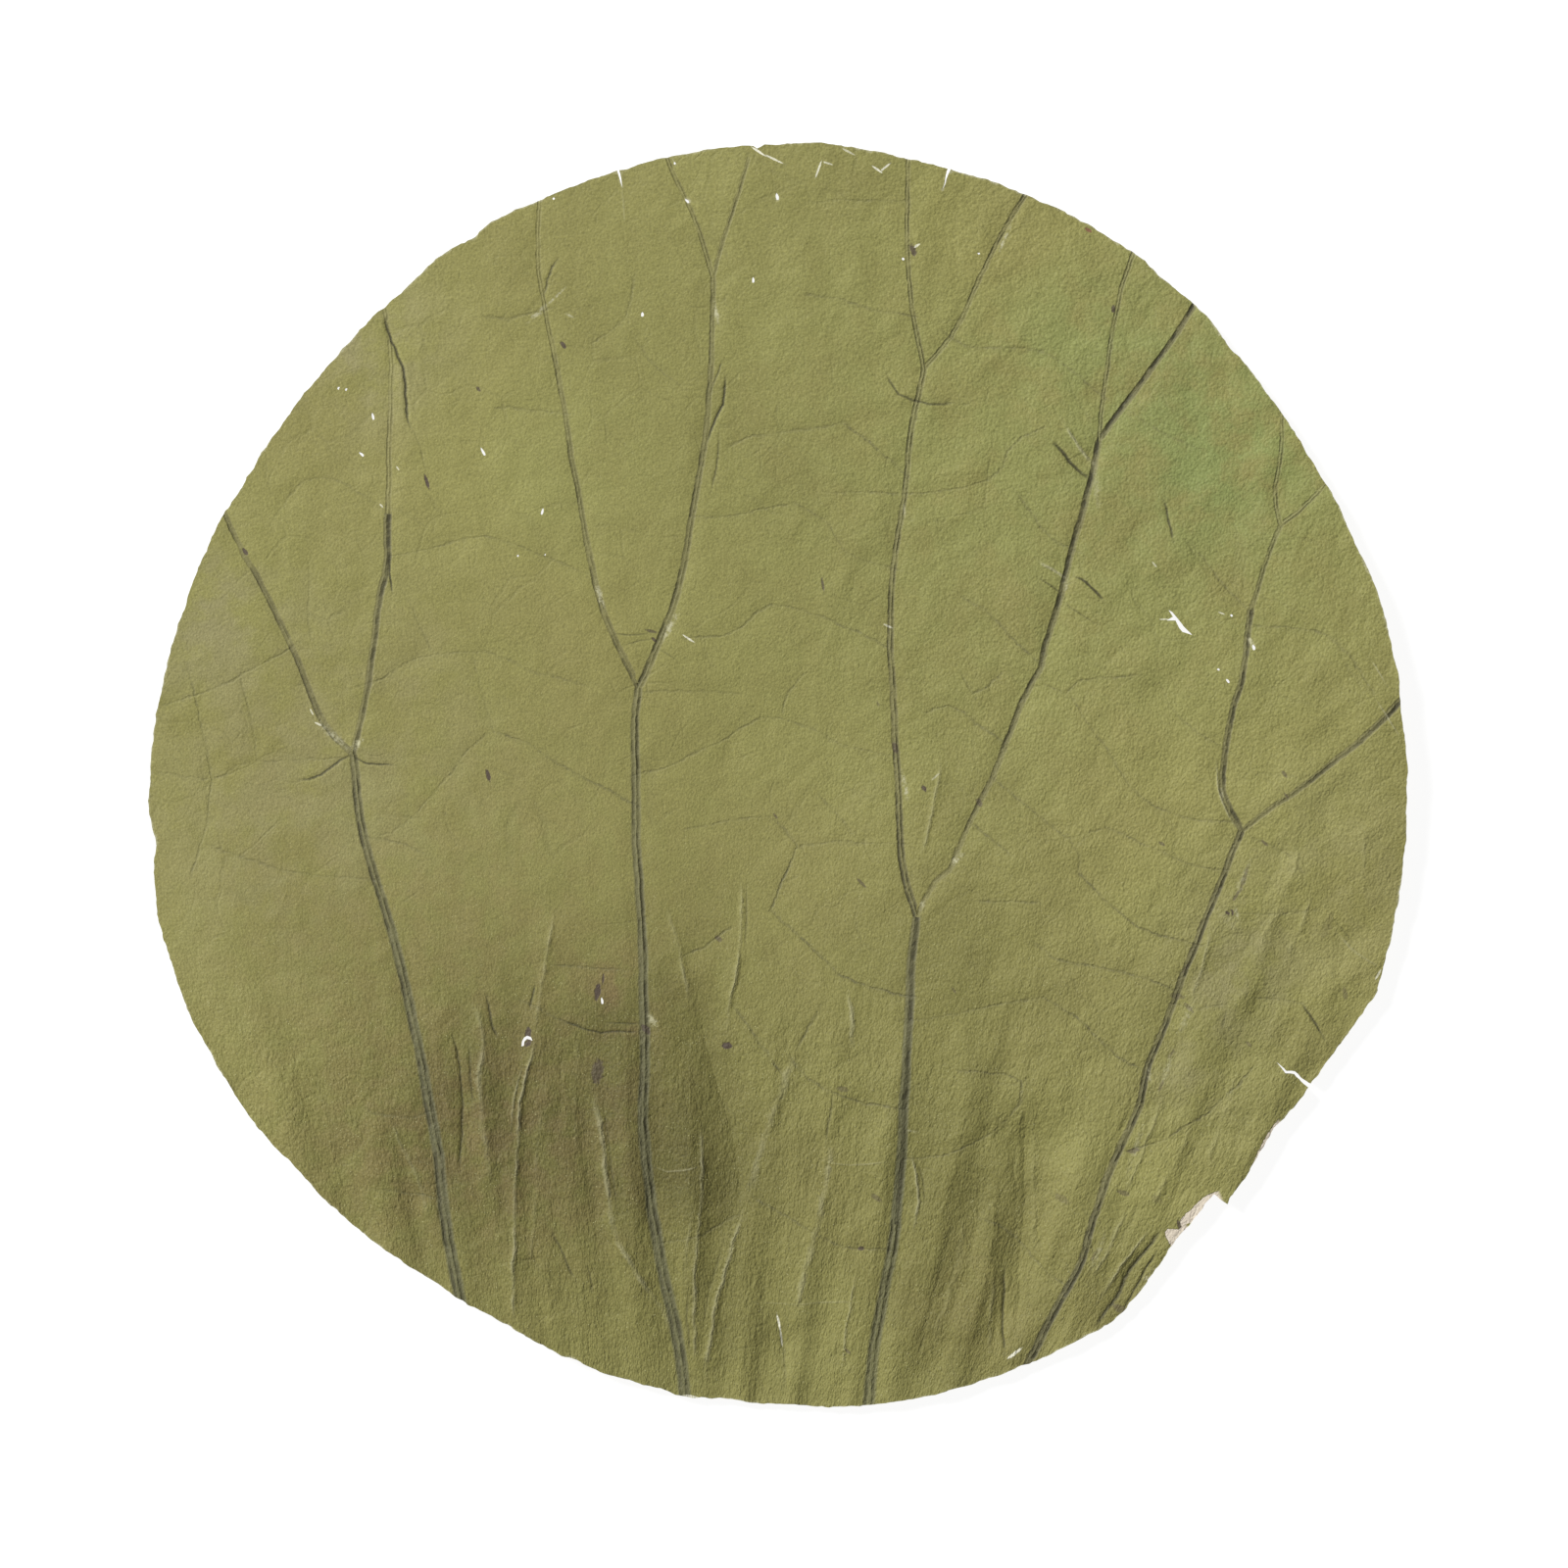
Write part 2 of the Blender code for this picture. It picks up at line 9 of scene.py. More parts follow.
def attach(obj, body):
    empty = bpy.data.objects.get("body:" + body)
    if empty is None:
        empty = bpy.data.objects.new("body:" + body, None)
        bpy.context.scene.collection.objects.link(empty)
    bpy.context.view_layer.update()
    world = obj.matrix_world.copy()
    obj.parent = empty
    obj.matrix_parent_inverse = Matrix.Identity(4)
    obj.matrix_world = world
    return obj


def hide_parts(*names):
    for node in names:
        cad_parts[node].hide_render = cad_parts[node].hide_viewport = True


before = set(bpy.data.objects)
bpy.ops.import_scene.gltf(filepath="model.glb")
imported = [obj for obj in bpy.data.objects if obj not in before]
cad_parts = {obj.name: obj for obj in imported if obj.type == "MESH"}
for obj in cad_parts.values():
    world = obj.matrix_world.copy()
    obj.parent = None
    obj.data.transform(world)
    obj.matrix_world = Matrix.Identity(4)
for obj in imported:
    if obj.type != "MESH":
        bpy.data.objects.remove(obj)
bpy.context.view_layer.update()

# Dried lotus leaf: the visual leaf that stands for the CAD leaf. Lengths are in millimetres, except where
# metres are named. X runs to the leaf's right, Y to its far edge, Z up.

MM = 0.001

# Blade, and the least upward turn of the CAD faces that belong to its upper skin
BLADE_THICKNESS = 0.36
UPWARD = 0.3

# Resting spot, dish and waves, as in the CAD leaf. Each wave of the rim has its height, how many there are
# round it, its phase and how fast it grows outwards.
REST_RADIUS = 9.0
REST_BLEND = 7.0
DISH_RISE = 3.3
DISH_REACH = 36.0
RIM_RADIUS = 100.0
RIM_WAVES = [(0.8, 2, 0.6, 2), (0.7, 3, 2.1, 2), (0.6, 5, 0.4, 3), (0.35, 9, 1.3, 5)]
PETIOLE = (-16.3, -240.0)
FAN_MEASURED_AT = 200.0
FAN_PITCH = 0.056
FAN_HEIGHT = 0.32
FAN_VARIES = 0.4
FAN_VARIES_ROUND = 23.0
FAN_VARIES_ALONG = 0.06
FAN_START = -20.0
FAN_FULL = -62.0

# Relief of the veins and creases, as in the CAD leaf
RIB_CREST_DROP = 0.12
RIB_FURROW_DROP = 0.22
RIB_SHOULDER = 3.2
RIB_BULGE = 0.80
NET_GROOVE = 0.10
NET_BULGE = 0.22
NET_REACH = 1.9
CREASE_REACH = 2.6
CREASE_TAPER = 9.0
CREASE_SHARE = 0.5

# Lengths of the straight pieces that a route is measured by
VEIN_STEP = 3.3
NET_STEP = 3.0
CREASE_STEP = 3.6
FINE_STEP = 2.5
FOLD_STEP = 6.0
TORN_STEP = 0.8

# Finer unevenness that only this leaf has: puckers between the veins, and pleats that fan out
PUCKER_SIZE = 11.0
PUCKER_HEIGHT = 0.30
PUCKER_RISE_OVER = 30.0
PUCKER_CALM = 0.40
PUCKER_CALM_LINE = -20.0
PUCKER_CALM_WIDTH = 70.0
PUCKER_SEED = 11.0
PLEAT_WIDTH = 5.5
PLEAT_LENGTH = 42.0
PLEAT_HEIGHT = 0.22
PLEAT_SEED = 3.0
VALLEY_SEED_SHIFT = 5.0
CRUMPLE_SCALE = 1.8

# Spacing of the leaf's mesh, and how far its torn rim wanders
NEAR_PITCH = 1.3
FAR_PITCH = 1.6
RIM_PITCH = 0.7
CORNER_PITCH = 0.6
CORNER = (66.0, -66.0)
CORNER_REACH = 16.0
NEAR_LINE = -20.0
REFINE_PASSES = 5
RIM_WANDER = 0.20
RIM_WANDER_SIZE = 1.3
RIM_WANDER_SEED = 7
HOLE_WANDER = 0.04
ROUND_RIM = 93.0
FRINGE_START = 90.0

# Lines in the finish: how far they fade at their ends, for a fine crease also as a share of its length. How
# far a vein's two furrows are from its middle, as a share of its half width, and how fast a lean closes them.
# How far off a mark counts as far, in marks.
VEIN_TAPER = 1.5
NET_TAPER = 2.0
FOLD_TAPER = 9.0
FINE_TAPER = 4.0
FINE_TAPER_SHARE = 0.35
LINE_SPREAD = 0.62
LEAN_CLOSES = 1.7
FAR_OFF = 60.0

# Colours
OLIVE = (0.267, 0.252, 0.080)
OLIVE_BROWN = (0.228, 0.198, 0.066)
OLIVE_GREEN = (0.228, 0.260, 0.082)
DARK_OLIVE = (0.236, 0.209, 0.052)
GREY_BROWN = (0.265, 0.235, 0.135)
RUST_BROWN = (0.270, 0.195, 0.080)
# Pale specks, also painted glints
PALE_SPECK_AND_GLINT = (0.48, 0.46, 0.22)
NET_INK = (0.150, 0.140, 0.062)
# Painted shadow in the vein furrows and along the dark fine creases
FURROW_SHADOW = (0.050, 0.046, 0.024)
VEIN_RIDGE = (0.225, 0.205, 0.098)
TRUNK_RIDGE = (0.150, 0.148, 0.078)
BRUISE = (0.085, 0.062, 0.048)
REDDISH = (0.22, 0.10, 0.06)
# Also the pale crests of fine creases, painted highlight as well as rub
RUBBED = (0.46, 0.44, 0.27)
SCUFFED = (0.80, 0.78, 0.62)
FIBRE = (0.66, 0.58, 0.46)
RIM_PALE = (0.36, 0.32, 0.18)
RIM_DARK = (0.22, 0.20, 0.09)
UNDERSIDE = (0.40, 0.355, 0.22)
UNDERSIDE_DARK = (0.30, 0.265, 0.15)
UNDERSIDE_RIB = (0.50, 0.42, 0.26)

# Roughness and specular level
UPPER_SHEEN = (0.62, 0.30)
UNDER_SHEEN = (0.75, 0.25)
RIM_SHEEN = (0.85, 0.2)

# How much lighter or darker the upper skin's stains and painted shade, and its patterns, make it
STAIN_AND_PAINTED_SHADE = -0.85
PATCH_SHADE = 0.20
LEATHER_SHADE = 0.42
PORE_SHADE = 0.72
STREAK_SHADE = 0.18
FINE_STREAK_SHADE = 0.12

# Where the upper skin turns coarse and speckled: along the fan from the petiole, and across the leaf
COARSE_ALONG = (225.0, 185.0)
COARSE_ACROSS = (-30.0, 60.0)
SPECKS_ALONG = (240.0, 195.0)

# Sizes of the upper skin's patterns
BROAD_PATCH = 34.0
PATCH = 7.0
STREAK = 4.2
FINE_STREAK = 1.1
WRINKLE = 1.5
LEATHER = 0.46
PORE = 0.24
PEBBLE = 0.40
SPECK = 0.62
NET_CELL = 11.0
SMALL_CELL = 3.4
CRINKLE = 2.7
RIDGE = 8.5
HOLLOW = 5.5

# Heights of the upper skin's relief. Where there are two, the second is added in the coarse part.
LEATHER_RISE = (0.055, 0.035)
PORE_RISE = (0.08, 0.04)
PEBBLE_RISE = (-0.03, -0.06)
WRINKLE_RISE = (0.04, 0.36)
RIDGE_RISE = (-0.42, -0.16)
HOLLOW_RISE = (0.24, 0.24)
SPECK_RISE = 0.05
LUMP_RISE = 0.03
STREAK_VALLEY_RISE = -0.30
STREAK_RISE = 0.10
FINE_STREAK_RISE = 0.05
FURROW_RISE = -0.20
VEIN_FOLD_RISE = -0.38
NET_RISE = -0.12
CELL_RISE = -0.03
SMALL_CELL_RISE = -0.02
CREASE_RISE = 0.72
CRINKLE_RISE = -0.36
WIDE_FOLD_RISE = -1.0
SPOT_RISE = -0.04
BARE_RISE = -0.15

# Camera: it sees what is between two distances in metres
FRAME_WIDTH = 248.8
LENS = 150.0
SENSOR = 36.0
LOOK_AT = (0.78, -1.24)
SUBJECT_HEIGHT = 3.5
SEEN_FROM = 0.01
SEEN_TO = 10.0

# Table top, which reaches as many metres to each side, just under the leaf
FLOOR_REACH = 1.5
FLOOR_DROP = 0.05
FLOOR_GREY = 0.22
FLOOR_GLOW = 0.89
FLOOR_SHEEN = (0.9, 0.1)

# Light: the soft box is in metres and watts
WHITE = (1.0, 1.0, 1.0, 1.0)
ROOM_LIGHT = 0.29
BOX_PLACE = (-1.95, 1.50, 1.95)
BOX_SIZE = 0.90
BOX_POWER = 123.0

# Main veins: half width at the start and end, ink at the start and end, and lean, then the route from the
# near side. The ink sets the vein's colour and relief and how dark the painted shadow in its furrows is. A
# vein
# with a lean is a fold: above zero its left side falls to it, below zero its right does, and the two lines of
# its painted shadow close towards one.
VEINS = [
    (0.95, 0.65, 0.90, 0.90, 0.10, [(-49.8, -86.0), (-52.9, -70.0), (-54.4, -58.0), (-57.2, -42.6),
        (-61.2, -25.0), (-64.2, -16.0), (-66.6, -5.6), (-67.6, 3.4)]),
    (0.55, 0.40, 0.80, 0.72, 0.14, [(-67.6, 3.4), (-72.2, 8.6), (-76.9, 19.5), (-82.3, 31.0),
        (-85.1, 35.6), (-88.6, 43.6)]),
    (0.50, 0.60, 0.80, 1.00, -0.34, [(-67.6, 3.4), (-65.6, 13.0), (-64.2, 22.0), (-63.4, 28.0),
        (-62.4, 31.0), (-62.0, 36.0), (-62.1, 41.5)]),
    (0.45, 0.40, 0.46, 0.32, 0.08, [(-62.1, 41.5), (-61.7, 57.6), (-61.5, 67.0), (-62.7, 75.4)]),
    (0.95, 0.65, 0.90, 0.85, -0.12, [(-14.9, -100.2), (-16.2, -88.6), (-18.2, -79.2), (-20.3, -67.0),
        (-21.6, -56.0), (-21.3, -42.5), (-21.9, -24.6), (-22.9, -1.2), (-22.5, 14.0)]),
    (0.52, 0.42, 0.75, 0.60, 0.16, [(-22.5, 14.0), (-27.2, 24.4), (-29.0, 30.3), (-30.9, 39.6),
        (-32.5, 48.2), (-33.7, 56.1), (-35.5, 67.0)]),
    (0.36, 0.34, 0.42, 0.35, 0.00, [(-35.5, 67.0), (-37.2, 74.4), (-38.3, 81.8), (-37.7, 91.8)]),
    (0.60, 0.42, 0.80, 0.62, 0.18, [(-22.5, 14.0), (-17.4, 25.2), (-15.1, 34.2), (-12.3, 49.8),
        (-10.9, 63.9), (-10.4, 79.1)]),
    (0.36, 0.34, 0.52, 0.45, 0.00, [(-10.4, 79.1), (-11.9, 84.2), (-14.7, 91.2), (-17.8, 98.6)]),
    (0.36, 0.34, 0.65, 0.55, -0.30, [(-10.4, 79.1), (-9.3, 84.0), (-7.4, 89.6), (-6.4, 93.0), (-5.0, 97.4)]),
    (0.95, 0.85, 0.76, 0.86, -0.10, [(14.1, -101.6), (15.0, -91.7), (16.6, -82.4), (18.6, -71.4)]),
    (0.85, 0.66, 0.94, 1.00, -0.36, [(18.6, -71.4), (19.5, -61.0), (19.7, -52.0), (20.5, -41.7),
        (20.9, -31.5), (21.8, -22.4)]),
    (0.60, 0.45, 0.92, 0.62, 0.08, [(21.8, -22.4), (19.6, -13.9), (19.0, -1.4), (18.2, 11.9), (17.7, 24.0),
        (18.2, 32.6), (19.9, 45.1), (20.9, 54.5), (23.0, 64.8)]),
    (0.38, 0.36, 0.60, 0.52, 0.00, [(23.0, 64.8), (20.9, 76.4), (20.4, 88.9), (20.6, 99.3)]),
    (0.38, 0.38, 0.52, 0.74, 0.12, [(23.0, 64.8), (27.9, 70.9), (32.6, 80.3), (36.1, 87.7), (39.6, 92.9)]),
    (0.42, 0.50, 0.50, 0.92, 0.30, [(21.8, -22.4), (24.4, -17.0), (27.1, -14.7), (31.8, -4.1), (34.2, 0.2),
        (36.1, 5.2), (39.3, 13.0), (41.7, 17.1)]),
    (0.50, 0.52, 0.92, 1.00, 0.36, [(41.7, 17.1), (42.8, 22.6), (44.4, 27.2), (47.1, 37.4), (48.7, 43.7),
        (50.8, 53.5)]),
    (0.38, 0.36, 0.60, 0.52, 0.05, [(50.8, 53.5), (51.4, 60.1), (52.6, 67.9), (54.2, 76.5), (56.6, 83.8)]),
    (0.48, 0.42, 1.00, 1.00, 0.30, [(50.8, 53.5), (54.6, 58.5), (60.0, 65.7), (66.4, 75.4)]),
    (0.66, 0.52, 1.00, 0.92, -0.20, [(38.8, -94.6), (43.7, -85.5), (48.4, -76.1), (49.6, -71.4),
        (53.1, -61.3), (57.4, -51.9), (58.5, -46.8), (60.9, -40.9), (64.1, -32.0), (67.0, -24.3),
        (69.5, -18.4), (71.5, -13.4), (73.5, -8.6)]),
    (0.52, 0.50, 0.95, 0.88, -0.30, [(73.5, -8.6), (72.0, -6.0), (70.3, -2.0), (70.5, 0.5), (71.4, 7.3),
        (73.7, 17.1), (74.9, 26.5)]),
    (0.40, 0.38, 0.65, 0.58, -0.20, [(74.9, 26.5), (77.2, 34.3), (79.6, 39.8)]),
    (0.36, 0.34, 0.55, 0.45, 0.00, [(79.6, 39.8), (78.8, 45.2), (79.7, 51.0), (80.0, 58.2)]),
    (0.36, 0.34, 0.62, 0.50, 0.00, [(79.6, 39.8), (82.7, 42.1), (87.0, 46.9)]),
    (0.44, 0.54, 0.72, 1.00, -0.34, [(73.5, -8.6), (77.4, -5.4), (81.9, -2.5), (89.0, 3.0), (94.0, 7.2),
        (99.2, 12.7)]),
]

# Net of finer veins between the main ones: ink, then the route
NET = [
    (0.45, [(-97.0, 11.5), (-88.6, 14.2), (-85.1, 16.0), (-77.6, 20.2)]),
    (0.48, [(-93.7, 16.8), (-92.5, 11.7), (-90.5, 3.1), (-90.1, -0.8), (-91.1, -8.6), (-92.9, -14.8)]),
    (0.35, [(-85.5, 15.6), (-83.9, 10.2), (-83.0, 2.7)]),
    (0.32, [(-97.6, 0.4), (-90.1, -0.4), (-84.7, 2.0), (-78.4, 2.4), (-68.4, 3.1)]),
    (0.38, [(-90.5, -10.9), (-83.9, -13.3), (-75.3, -15.6), (-64.6, -16.4)]),
    (0.35, [(-79.2, 42.2), (-76.9, 45.3), (-74.5, 47.3), (-69.0, 46.5), (-62.4, 41.8)]),
    (0.42, [(-61.0, 34.9), (-54.2, 36.3), (-46.4, 38.3), (-38.6, 35.2), (-30.0, 32.0)]),
    (0.40, [(-65.2, 14.4), (-58.1, 18.4), (-54.2, 19.5), (-45.6, 19.5), (-39.4, 16.8), (-31.5, 14.5)]),
    (0.32, [(-64.4, -9.8), (-59.7, -7.8), (-51.9, 0.8), (-49.5, 3.9), (-45.6, 7.0)]),
    (0.58, [(-45.6, 7.0), (-40.1, 5.1), (-32.3, 0.4), (-22.8, -4.4)]),
    (0.30, [(-48.7, 18.8), (-47.2, 13.3), (-45.6, 7.0)]),
    (0.45, [(-65.4, -9.6), (-60.4, -10.5), (-56.5, -12.1)]),
    (0.30, [(-74.5, 33.6), (-74.7, 28.1), (-74.5, 21.9)]),
    (0.30, [(-60.0, 30.1), (-57.3, 24.2), (-55.3, 20.3)]),
    (0.35, [(-44.2, 58.4), (-40.3, 58.4), (-34.2, 57.6)]),
    (0.35, [(-46.0, 73.0), (-41.9, 72.8), (-37.2, 74.0)]),
    (0.40, [(-22.9, 78.7), (-24.3, 73.2), (-29.1, 69.0)]),
    (0.35, [(-22.9, 69.3), (-20.9, 66.2), (-15.8, 62.3)]),
    (0.35, [(-6.8, 52.9), (-3.7, 54.1), (4.1, 55.1), (10.0, 56.1)]),
    (0.60, [(10.0, 56.1), (14.3, 52.9), (20.2, 48.1)]),
    (0.40, [(-13.4, 41.2), (-8.0, 41.2), (-2.2, 42.4), (2.5, 43.2)]),
    (0.45, [(2.5, 43.2), (7.6, 40.4), (10.3, 35.7), (18.2, 33.0)]),
    (0.45, [(8.8, 45.1), (14.3, 45.0), (20.5, 44.7), (29.9, 45.9), (35.5, 49.0), (36.8, 52.5), (41.3, 55.0)]),
    (0.55, [(4.9, 76.3), (10.3, 75.6), (14.3, 74.0), (21.2, 72.9)]),
    (0.40, [(6.4, 91.2), (13.5, 91.4), (20.4, 91.1)]),
    (0.50, [(27.0, 70.0), (30.3, 68.3), (37.4, 68.0), (43.6, 66.7), (51.4, 60.4)]),
    (0.45, [(-22.4, 0.3), (-17.0, 1.7), (-9.2, 5.6), (-2.2, 9.4), (2.5, 8.4), (5.7, 7.2)]),
    (0.30, [(5.7, 7.2), (10.3, 4.9), (18.5, 3.3)]),
    (0.40, [(0.6, 10.0), (1.4, 13.5), (3.7, 15.8)]),
    (0.30, [(-20.5, 13.5), (-14.7, 13.5), (-7.6, 13.3)]),
    (0.50, [(-14.0, 22.0), (-6.8, 22.8), (-2.9, 26.6), (1.0, 27.1), (9.6, 24.2), (17.6, 20.5)]),
    (0.45, [(-14.0, -8.4), (-6.5, -6.9), (-0.6, -6.9), (2.9, -11.2)]),
    (0.80, [(2.9, -11.2), (0.2, -17.8), (-1.4, -21.3)]),
    (0.35, [(2.9, -11.2), (9.2, -10.4), (19.1, -10.8)]),
    (0.80, [(-1.4, -21.3), (6.4, -28.4), (10.3, -31.9), (17.0, -34.2), (20.7, -35.0)]),
    (0.60, [(-14.7, -28.4), (-9.6, -26.0), (-8.4, -24.8)]),
    (0.35, [(7.2, -3.7), (9.6, -6.5), (11.5, -8.8)]),
    (0.60, [(30.7, -7.6), (33.4, -9.6), (35.7, -11.6)]),
    (0.60, [(32.5, -19.8), (36.6, -20.1), (40.5, -20.1)]),
    (0.50, [(24.4, 10.3), (28.3, 11.3), (30.7, 8.8), (36.1, 5.2)]),
    (0.60, [(29.9, 27.9), (33.0, 26.0), (37.7, 21.3), (41.8, 18.0)]),
    (0.45, [(29.5, 15.4), (31.4, 13.1), (35.0, 15.8)]),
    (0.50, [(34.4, -0.9), (41.3, -6.4), (47.2, -11.1), (47.9, -15.4)]),
    (0.70, [(47.9, -15.4), (52.2, -20.1), (58.5, -24.8), (66.2, -26.8)]),
    (0.45, [(47.2, -11.1), (51.1, -8.0), (57.7, -10.7), (65.5, -14.2), (70.9, -14.8)]),
    (0.50, [(46.8, 12.0), (51.5, 4.9), (56.9, -2.9), (64.0, -6.4), (72.2, -7.4)]),
    (0.50, [(40.5, 16.3), (43.6, 14.0), (46.0, 13.2), (47.9, 15.1), (56.1, 15.9)]),
    (0.35, [(60.8, 14.0), (62.4, 10.1), (70.9, 4.0)]),
    (0.45, [(38.1, 44.4), (42.8, 38.2), (47.0, 36.0)]),
    (0.35, [(56.1, 57.7), (60.0, 55.0), (66.3, 52.2)]),
    (0.50, [(65.5, 36.6), (68.6, 32.7), (74.8, 26.0)]),
    (0.50, [(75.2, 24.0), (78.8, 23.7), (86.6, 22.6), (91.3, 17.9), (93.6, 14.0)]),
    (0.60, [(41.3, -27.1), (44.4, -29.4), (52.2, -30.6), (59.3, -32.6), (63.2, -34.4)]),
    (0.45, [(20.6, -38.9), (28.4, -37.7), (35.8, -36.1), (42.1, -35.1)]),
    (0.75, [(42.1, -35.1), (48.3, -39.2), (53.8, -44.7), (58.4, -47.1)]),
    (0.60, [(29.6, -47.0), (37.4, -47.8), (38.6, -49.8), (37.8, -52.9), (34.3, -56.4), (27.2, -59.9),
        (20.2, -61.0)]),
    (0.40, [(72.6, -21.6), (77.2, -22.0), (85.1, -21.2)]),
    (0.45, [(63.0, -36.2), (67.1, -36.9), (70.2, -36.5)]),
    (0.55, [(76.5, -35.3), (83.0, -36.0), (85.1, -39.2), (86.6, -41.6)]),
    (0.65, [(55.6, -59.4), (61.6, -57.6), (68.7, -52.9), (74.9, -47.0)]),
    (0.45, [(75.7, -9.9), (78.0, -11.2), (80.4, -12.3)]),
    (0.55, [(32.7, -70.6), (36.6, -72.2), (42.1, -78.4), (45.8, -80.8)]),
    (0.75, [(-7.0, -37.0), (-4.1, -40.9), (-0.2, -46.4)]),
    (0.70, [(2.5, -45.6), (5.7, -48.8), (13.5, -51.9), (19.7, -52.9)]),
    (0.65, [(-18.6, -74.0), (-12.3, -73.0), (-6.8, -69.8)]),
    (0.60, [(-2.9, -67.5), (4.9, -72.2), (11.1, -74.9), (17.6, -75.3)]),
    (0.50, [(-34.7, -30.1), (-30.0, -30.5), (-25.3, -30.9)]),
    (0.45, [(-40.9, -35.5), (-35.4, -38.3), (-32.0, -39.6)]),
    (0.45, [(-65.5, -53.1), (-60.4, -54.3), (-55.4, -53.4)]),
    (0.50, [(-63.6, -65.6), (-58.9, -66.0), (-53.4, -67.2)]),
]

# Broad creases: height of the crest, below zero for a valley, then the route
CREASES = [
    (0.45, [(-60.2, 69.5), (-59.6, 61.7), (-58.8, 56.3)]),
    (0.55, [(-37.2, -23.8), (-37.8, -37.0), (-40.7, -49.4), (-41.8, -66.6), (-42.3, -85.2)]),
    (0.50, [(-47.1, -40.1), (-46.6, -55.7), (-45.9, -66.6)]),
    (-0.40, [(-50.5, -43.2), (-49.8, -54.1), (-50.5, -64.2)]),
    (0.70, [(-29.4, -49.4), (-28.5, -56.4), (-26.9, -67.3), (-23.8, -79.0), (-19.7, -86.8)]),
    (0.60, [(-12.3, -55.7), (-12.9, -71.2), (-14.0, -85.2), (-13.2, -96.4)]),
    (0.60, [(-6.1, -69.7), (-9.6, -82.1), (-11.3, -97.3)]),
    (0.40, [(-17.3, -21.5), (-15.2, -33.1), (-14.2, -40.1)]),
    (0.35, [(-6.7, -19.9), (-6.7, -28.5), (-8.9, -40.1)]),
    (0.50, [(8.2, -48.7), (7.8, -58.8), (5.3, -72.8), (1.7, -90.7)]),
    (0.60, [(39.4, -46.3), (38.0, -57.2), (38.5, -69.7), (38.2, -82.1), (36.2, -93.3)]),
    (-0.50, [(34.6, -61.0), (35.3, -70.0), (35.0, -82.1), (33.4, -94.0)]),
    (0.45, [(82.4, -11.4), (78.2, -24.6), (72.9, -36.2), (70.4, -42.5)]),
    (-0.60, [(60.2, -72.5), (55.2, -79.3), (50.6, -86.4)]),
    (0.50, [(43.7, 55.5), (46.6, 50.4), (48.6, 48.0)]),
    (0.45, [(41.5, 34.5), (46.2, 31.4), (51.8, 27.7)]),
    (-0.35, [(-8.2, 64.8), (-8.9, 59.4), (-11.0, 54.8)]),
    (0.40, [(12.0, -77.4), (11.4, -86.8), (10.1, -98.0)]),
    (-0.35, [(-36.5, -38.6), (-35.0, -49.4), (-35.6, -61.9)]),
    (0.35, [(28.8, -33.9), (29.5, -41.7), (28.5, -49.4)]),
]
